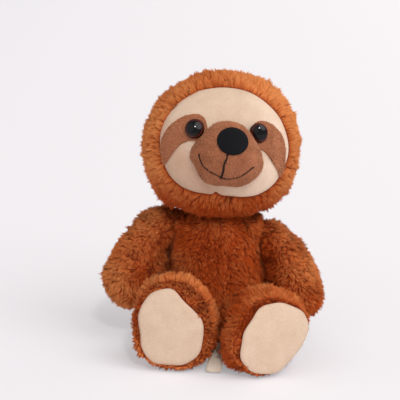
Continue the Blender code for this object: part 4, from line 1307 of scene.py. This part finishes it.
shares = (np.sin(np.linspace(0, pi / 2, 40)), (1, 0.5, 0))
grid = sheet_grid(MUZZLE_OUTLINE, MUZZLE_PEAK, muzzle_front, MUZZLE_BASE + 0.8, *shares)
nodes = ["muzzle_cover", "muzzle_stuffing"]
short_pile("muzzle_velboa", grid, muzzle_keep, (0, 8), nodes, 45, muzzle_painted_shade)

reach = circle(48) * NOSE_HALF
rows = face_rings(NOSE_CENTRE, reach, np.sin(np.linspace(0, pi / 2, 14)), nose_front)
rows += face_rings(NOSE_CENTRE, reach, (0.985, 0.5, 0), nose_back)
solid_piece("nose_pad", head_world(np.array(rows)), NOSE, "head", ["nose"])

for name, (line, thickness, knot) in MOUTH_THREADS.items():
    grid = head_world(stitched_line(line, thickness * THREAD_HALF, knot))
    solid_piece(f"mouth_{name}_thread", grid, THREAD, "head")


# Eyes

EYE_PLASTIC = eye_material()
# The shading of each dome is turned this far, so that its shine lies near its middle
EYE_SHINES = {
    "left": Euler((radians(7), 0, radians(-17))),
    "right": Euler((0, 0, radians(14))),
}
EYE_CHAMFER = (0.3, 0.35)
EYE_MAP_HALF = 0.45


def eye_profile():
    """(radius, height) from the end of the stem to the top of the dome."""
    rows = [(0, -EYE_STEM_LENGTH), (EYE_STEM_RADIUS, -EYE_STEM_LENGTH), (EYE_STEM_RADIUS, 0)]
    rows += [(EYE_RADIUS - EYE_CHAMFER[0], 0), (EYE_RADIUS, EYE_CHAMFER[1])]
    for angle in np.linspace(0, pi / 2, 16)[:0:-1]:
        rows.append((EYE_RADIUS * sin(angle), EYE_RIM + (EYE_DOME - EYE_RIM) * cos(angle)))
    return [*rows, (0, EYE_DOME)]


def eye_dome(label, place):
    """An eye that stands square on the face, with a map that shows it from the front."""
    inset = MUZZLE_BASE - PATCH_WALL
    on_face = at_depth(place, face_depth(place, inset))
    half = HEAD_HALF - inset
    out = unit(power_of(on_face / half, HEAD_ROUNDNESS - 1) / half)
    turned = np.array(Vector(out).to_track_quat("Z", "Y").to_matrix())
    rows = stacked_rings(circle(48), eye_profile())
    front = 0.5 + EYE_MAP_HALF * rows[..., :2] / EYE_RADIUS
    grid = head_world(to_world(rows, on_face + out * SEAM_GAP, turned))
    eye = solid_piece(f"{label}_eye_dome", grid, EYE_PLASTIC, "head", [f"{label}_eye"], uv=front)
    points, faces = read_mesh(eye)
    normals = point_normals(points, triangles_of(faces))
    shine = np.array(EYE_SHINES[label].to_matrix())
    eye.data.normals_split_custom_set_from_vertices(normals @ shine.T)


for label, side in SIDES.items():
    eye_dome(label, eye_place(side))


# Soles and tag


def sole_velboa(label):
    """A domed pad with a wavy edge, rounded at its rim."""
    shape = shapes[label, "leg"]
    length = shape.length
    turn = 2 * pi * np.arange(72) / 72
    wavy = 1 + 0.011 * np.sin(5 * turn + length) + 0.009 * np.sin(9 * turn + 2)
    edge = SOLE_HALF * power_of(circle(72), 2 / SOLE_SQUARENESS) * wavy[:, None]
    rows = [(share, length - SOLE_THICKNESS) for share in (0, 0.5, 0.97)]
    rows.append((1.0, length - SOLE_SIDE_DROP))
    for share in np.linspace(0.99, 0, 30):
        rim_drop = max(0, (share - 0.9) / 0.1) ** 2
        rows.append((share, length + (SOLE_DOME * (1 - share**2) - rim_drop)))
    middle = limb_middle(shape, shape.rise) + shape.sole_shift
    grid = to_world(stacked_rings(edge, rows, middle), shape.centre, shape.turned)
    grid = puffed(grid, shape.puffs)
    grid[..., 2] = np.maximum(grid[..., 2], FLOOR_CLEARANCE)
    nodes = [f"{label}_sole_pad"]
    solid_piece(f"{label}_sole_velboa", grid, VELBOA, f"{label}_leg", nodes)


for label in SIDES:
    sole_velboa(label)

# The tag comes out of the seam under the body and lies bent between the feet
TAG_LINE = (
    (-37.5, 11.0), (-45.0, 13.6), (-54.0, 13.4), (-63.5, 10.4), (-72.0, 5.8), (-77.5, 1.6),
)
TAG_SIZE = (12.0, 44.0)
TAG_THICKNESS, TAG_CURL = 0.6, 0.5
TAG_SIDE, TAG_ANGLE = 4.4, radians(-11)
line = open_curve(TAG_LINE, 40)
ahead = unit(np.gradient(line, axis=0))
up = np.stack([-ahead[:, 1], ahead[:, 0]], axis=-1)
up *= np.sign(up[:, 1:])
rows = []
for (y, z), (rise_y, rise_z), share in zip(line, up, np.linspace(0, 1, len(line))):
    ring = []
    for side, half in ((1, TAG_THICKNESS / 2), (-1, -TAG_THICKNESS / 2)):
        for across in np.linspace(-side, side, 9):
            lift = half + TAG_CURL * share * across**2
            ring.append((across * TAG_SIZE[0] / 2, y + rise_y * lift, z + rise_z * lift))
    rows.append(ring)
grid = np.array(rows)
grid = np.concatenate([pole_of(grid[0]), grid, pole_of(grid[-1])])
spun = np.array(Matrix.Rotation(TAG_ANGLE, 3, "Z"))
pin = np.array((0.0, TAG_LINE[0][0], 0.0))
grid = to_world(grid - pin, pin, spun) + np.array((TAG_SIDE, 0, 0))
tag = solid_piece("tag_ribbon", grid, RIBBON, "torso", ["blank_label"])

# Looks of the CAD's own nodes that stay in view, by a word of their names
NODE_LOOKS = {
    "stuffing": FIBRE, "pellet": PELLETS, "thread": THREAD, "washer": NYLON, "label": RIBBON,
}
for name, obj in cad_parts.items():
    if obj.hide_render:
        continue
    obj.data.materials.clear()
    for word, finish in NODE_LOOKS.items():
        if word in name:
            obj.data.materials.append(finish)


# Studio
camera_data = bpy.data.cameras.new("camera")
camera_data.lens = 140.6
camera_data.sensor_width = 36
camera = bpy.data.objects.new("camera", camera_data)
camera.location = (-0.0136, -1.2102, 0.432)
camera.rotation_euler = (radians(75.5), 0, 0)
bpy.context.scene.collection.objects.link(camera)
bpy.context.scene.camera = camera

FLOOR_GLOW = 0.35
ground, tree, shader = node_material("studio_floor")
shader.inputs["Base Color"].default_value = (0.98, 0.965, 1.0, 1)
shader.inputs["Roughness"].default_value = 0.9
shader.inputs["Specular IOR Level"].default_value = 0.0
# The camera, and a glossy or clear surface, see the floor as white paper with its shadows thinned
paths = add_node(tree, "LightPath", {}).outputs
glossy_or_clear = {0: paths["Is Glossy Ray"], 1: paths["Is Transmission Ray"]}
mirrored = add_node(tree, "Math", glossy_or_clear, operation="MAXIMUM")
seen = add_node(tree, "Math", {0: paths["Is Camera Ray"], 1: mirrored}, operation="MAXIMUM")
share = add_node(tree, "Math", {0: seen, 1: FLOOR_GLOW}, operation="MULTIPLY")
where = add_node(tree, "TexCoord", {}).outputs["Object"]
place = add_node(tree, "SeparateXYZ", {"Vector": where}).outputs["X"]
across = add_node(tree, "MapRange", {"Value": place, "From Min": -0.4, "From Max": 0.4})
# The glow is painted light: darker to the left of the floor and lighter to its right
painted_light_sides = ((0.0, (0.79, 0.79, 0.835)), (1.0, (1.0, 0.99, 1.0)))
glow = add_node(tree, "Emission", {"Color": ramp(tree, across, painted_light_sides), "Strength": 1.0})
blend = add_node(tree, "MixShader", {0: share, 1: shader, 2: glow})
feed(tree, tree.nodes["Material Output"], {"Surface": blend})
half = 8 / METRES
corners = np.array([(-half, -half, 0), (half, -half, 0), (half, half, 0), (-half, half, 0)])
mesh_object("studio_floor", corners, [(0, 1, 2, 3)], ground)

world = bpy.data.worlds.new("studio")
world.use_nodes = True
bpy.context.scene.world = world
back = world.node_tree.nodes["Background"]
back.inputs["Color"].default_value = (1.0, 0.93, 0.89, 1)
back.inputs["Strength"].default_value = 0.45


def sun(name, direction, strength, angle):
    data = bpy.data.lights.new(name, "SUN")
    data.energy = strength
    data.angle = radians(angle)
    made = bpy.data.objects.new(name, data)
    made.rotation_euler = (-Vector(direction)).to_track_quat("-Z", "Y").to_euler()
    bpy.context.scene.collection.objects.link(made)


sun("key", (0.75, -0.8, 1.05), 1.45, 48)
sun("fill", (-0.6, -0.9, 0.5), 0.3, 60)
sun("glint", (0.17, -1.0, 0.78), 0.7, 5.4)

bpy.context.scene.view_settings.view_transform = "Standard"
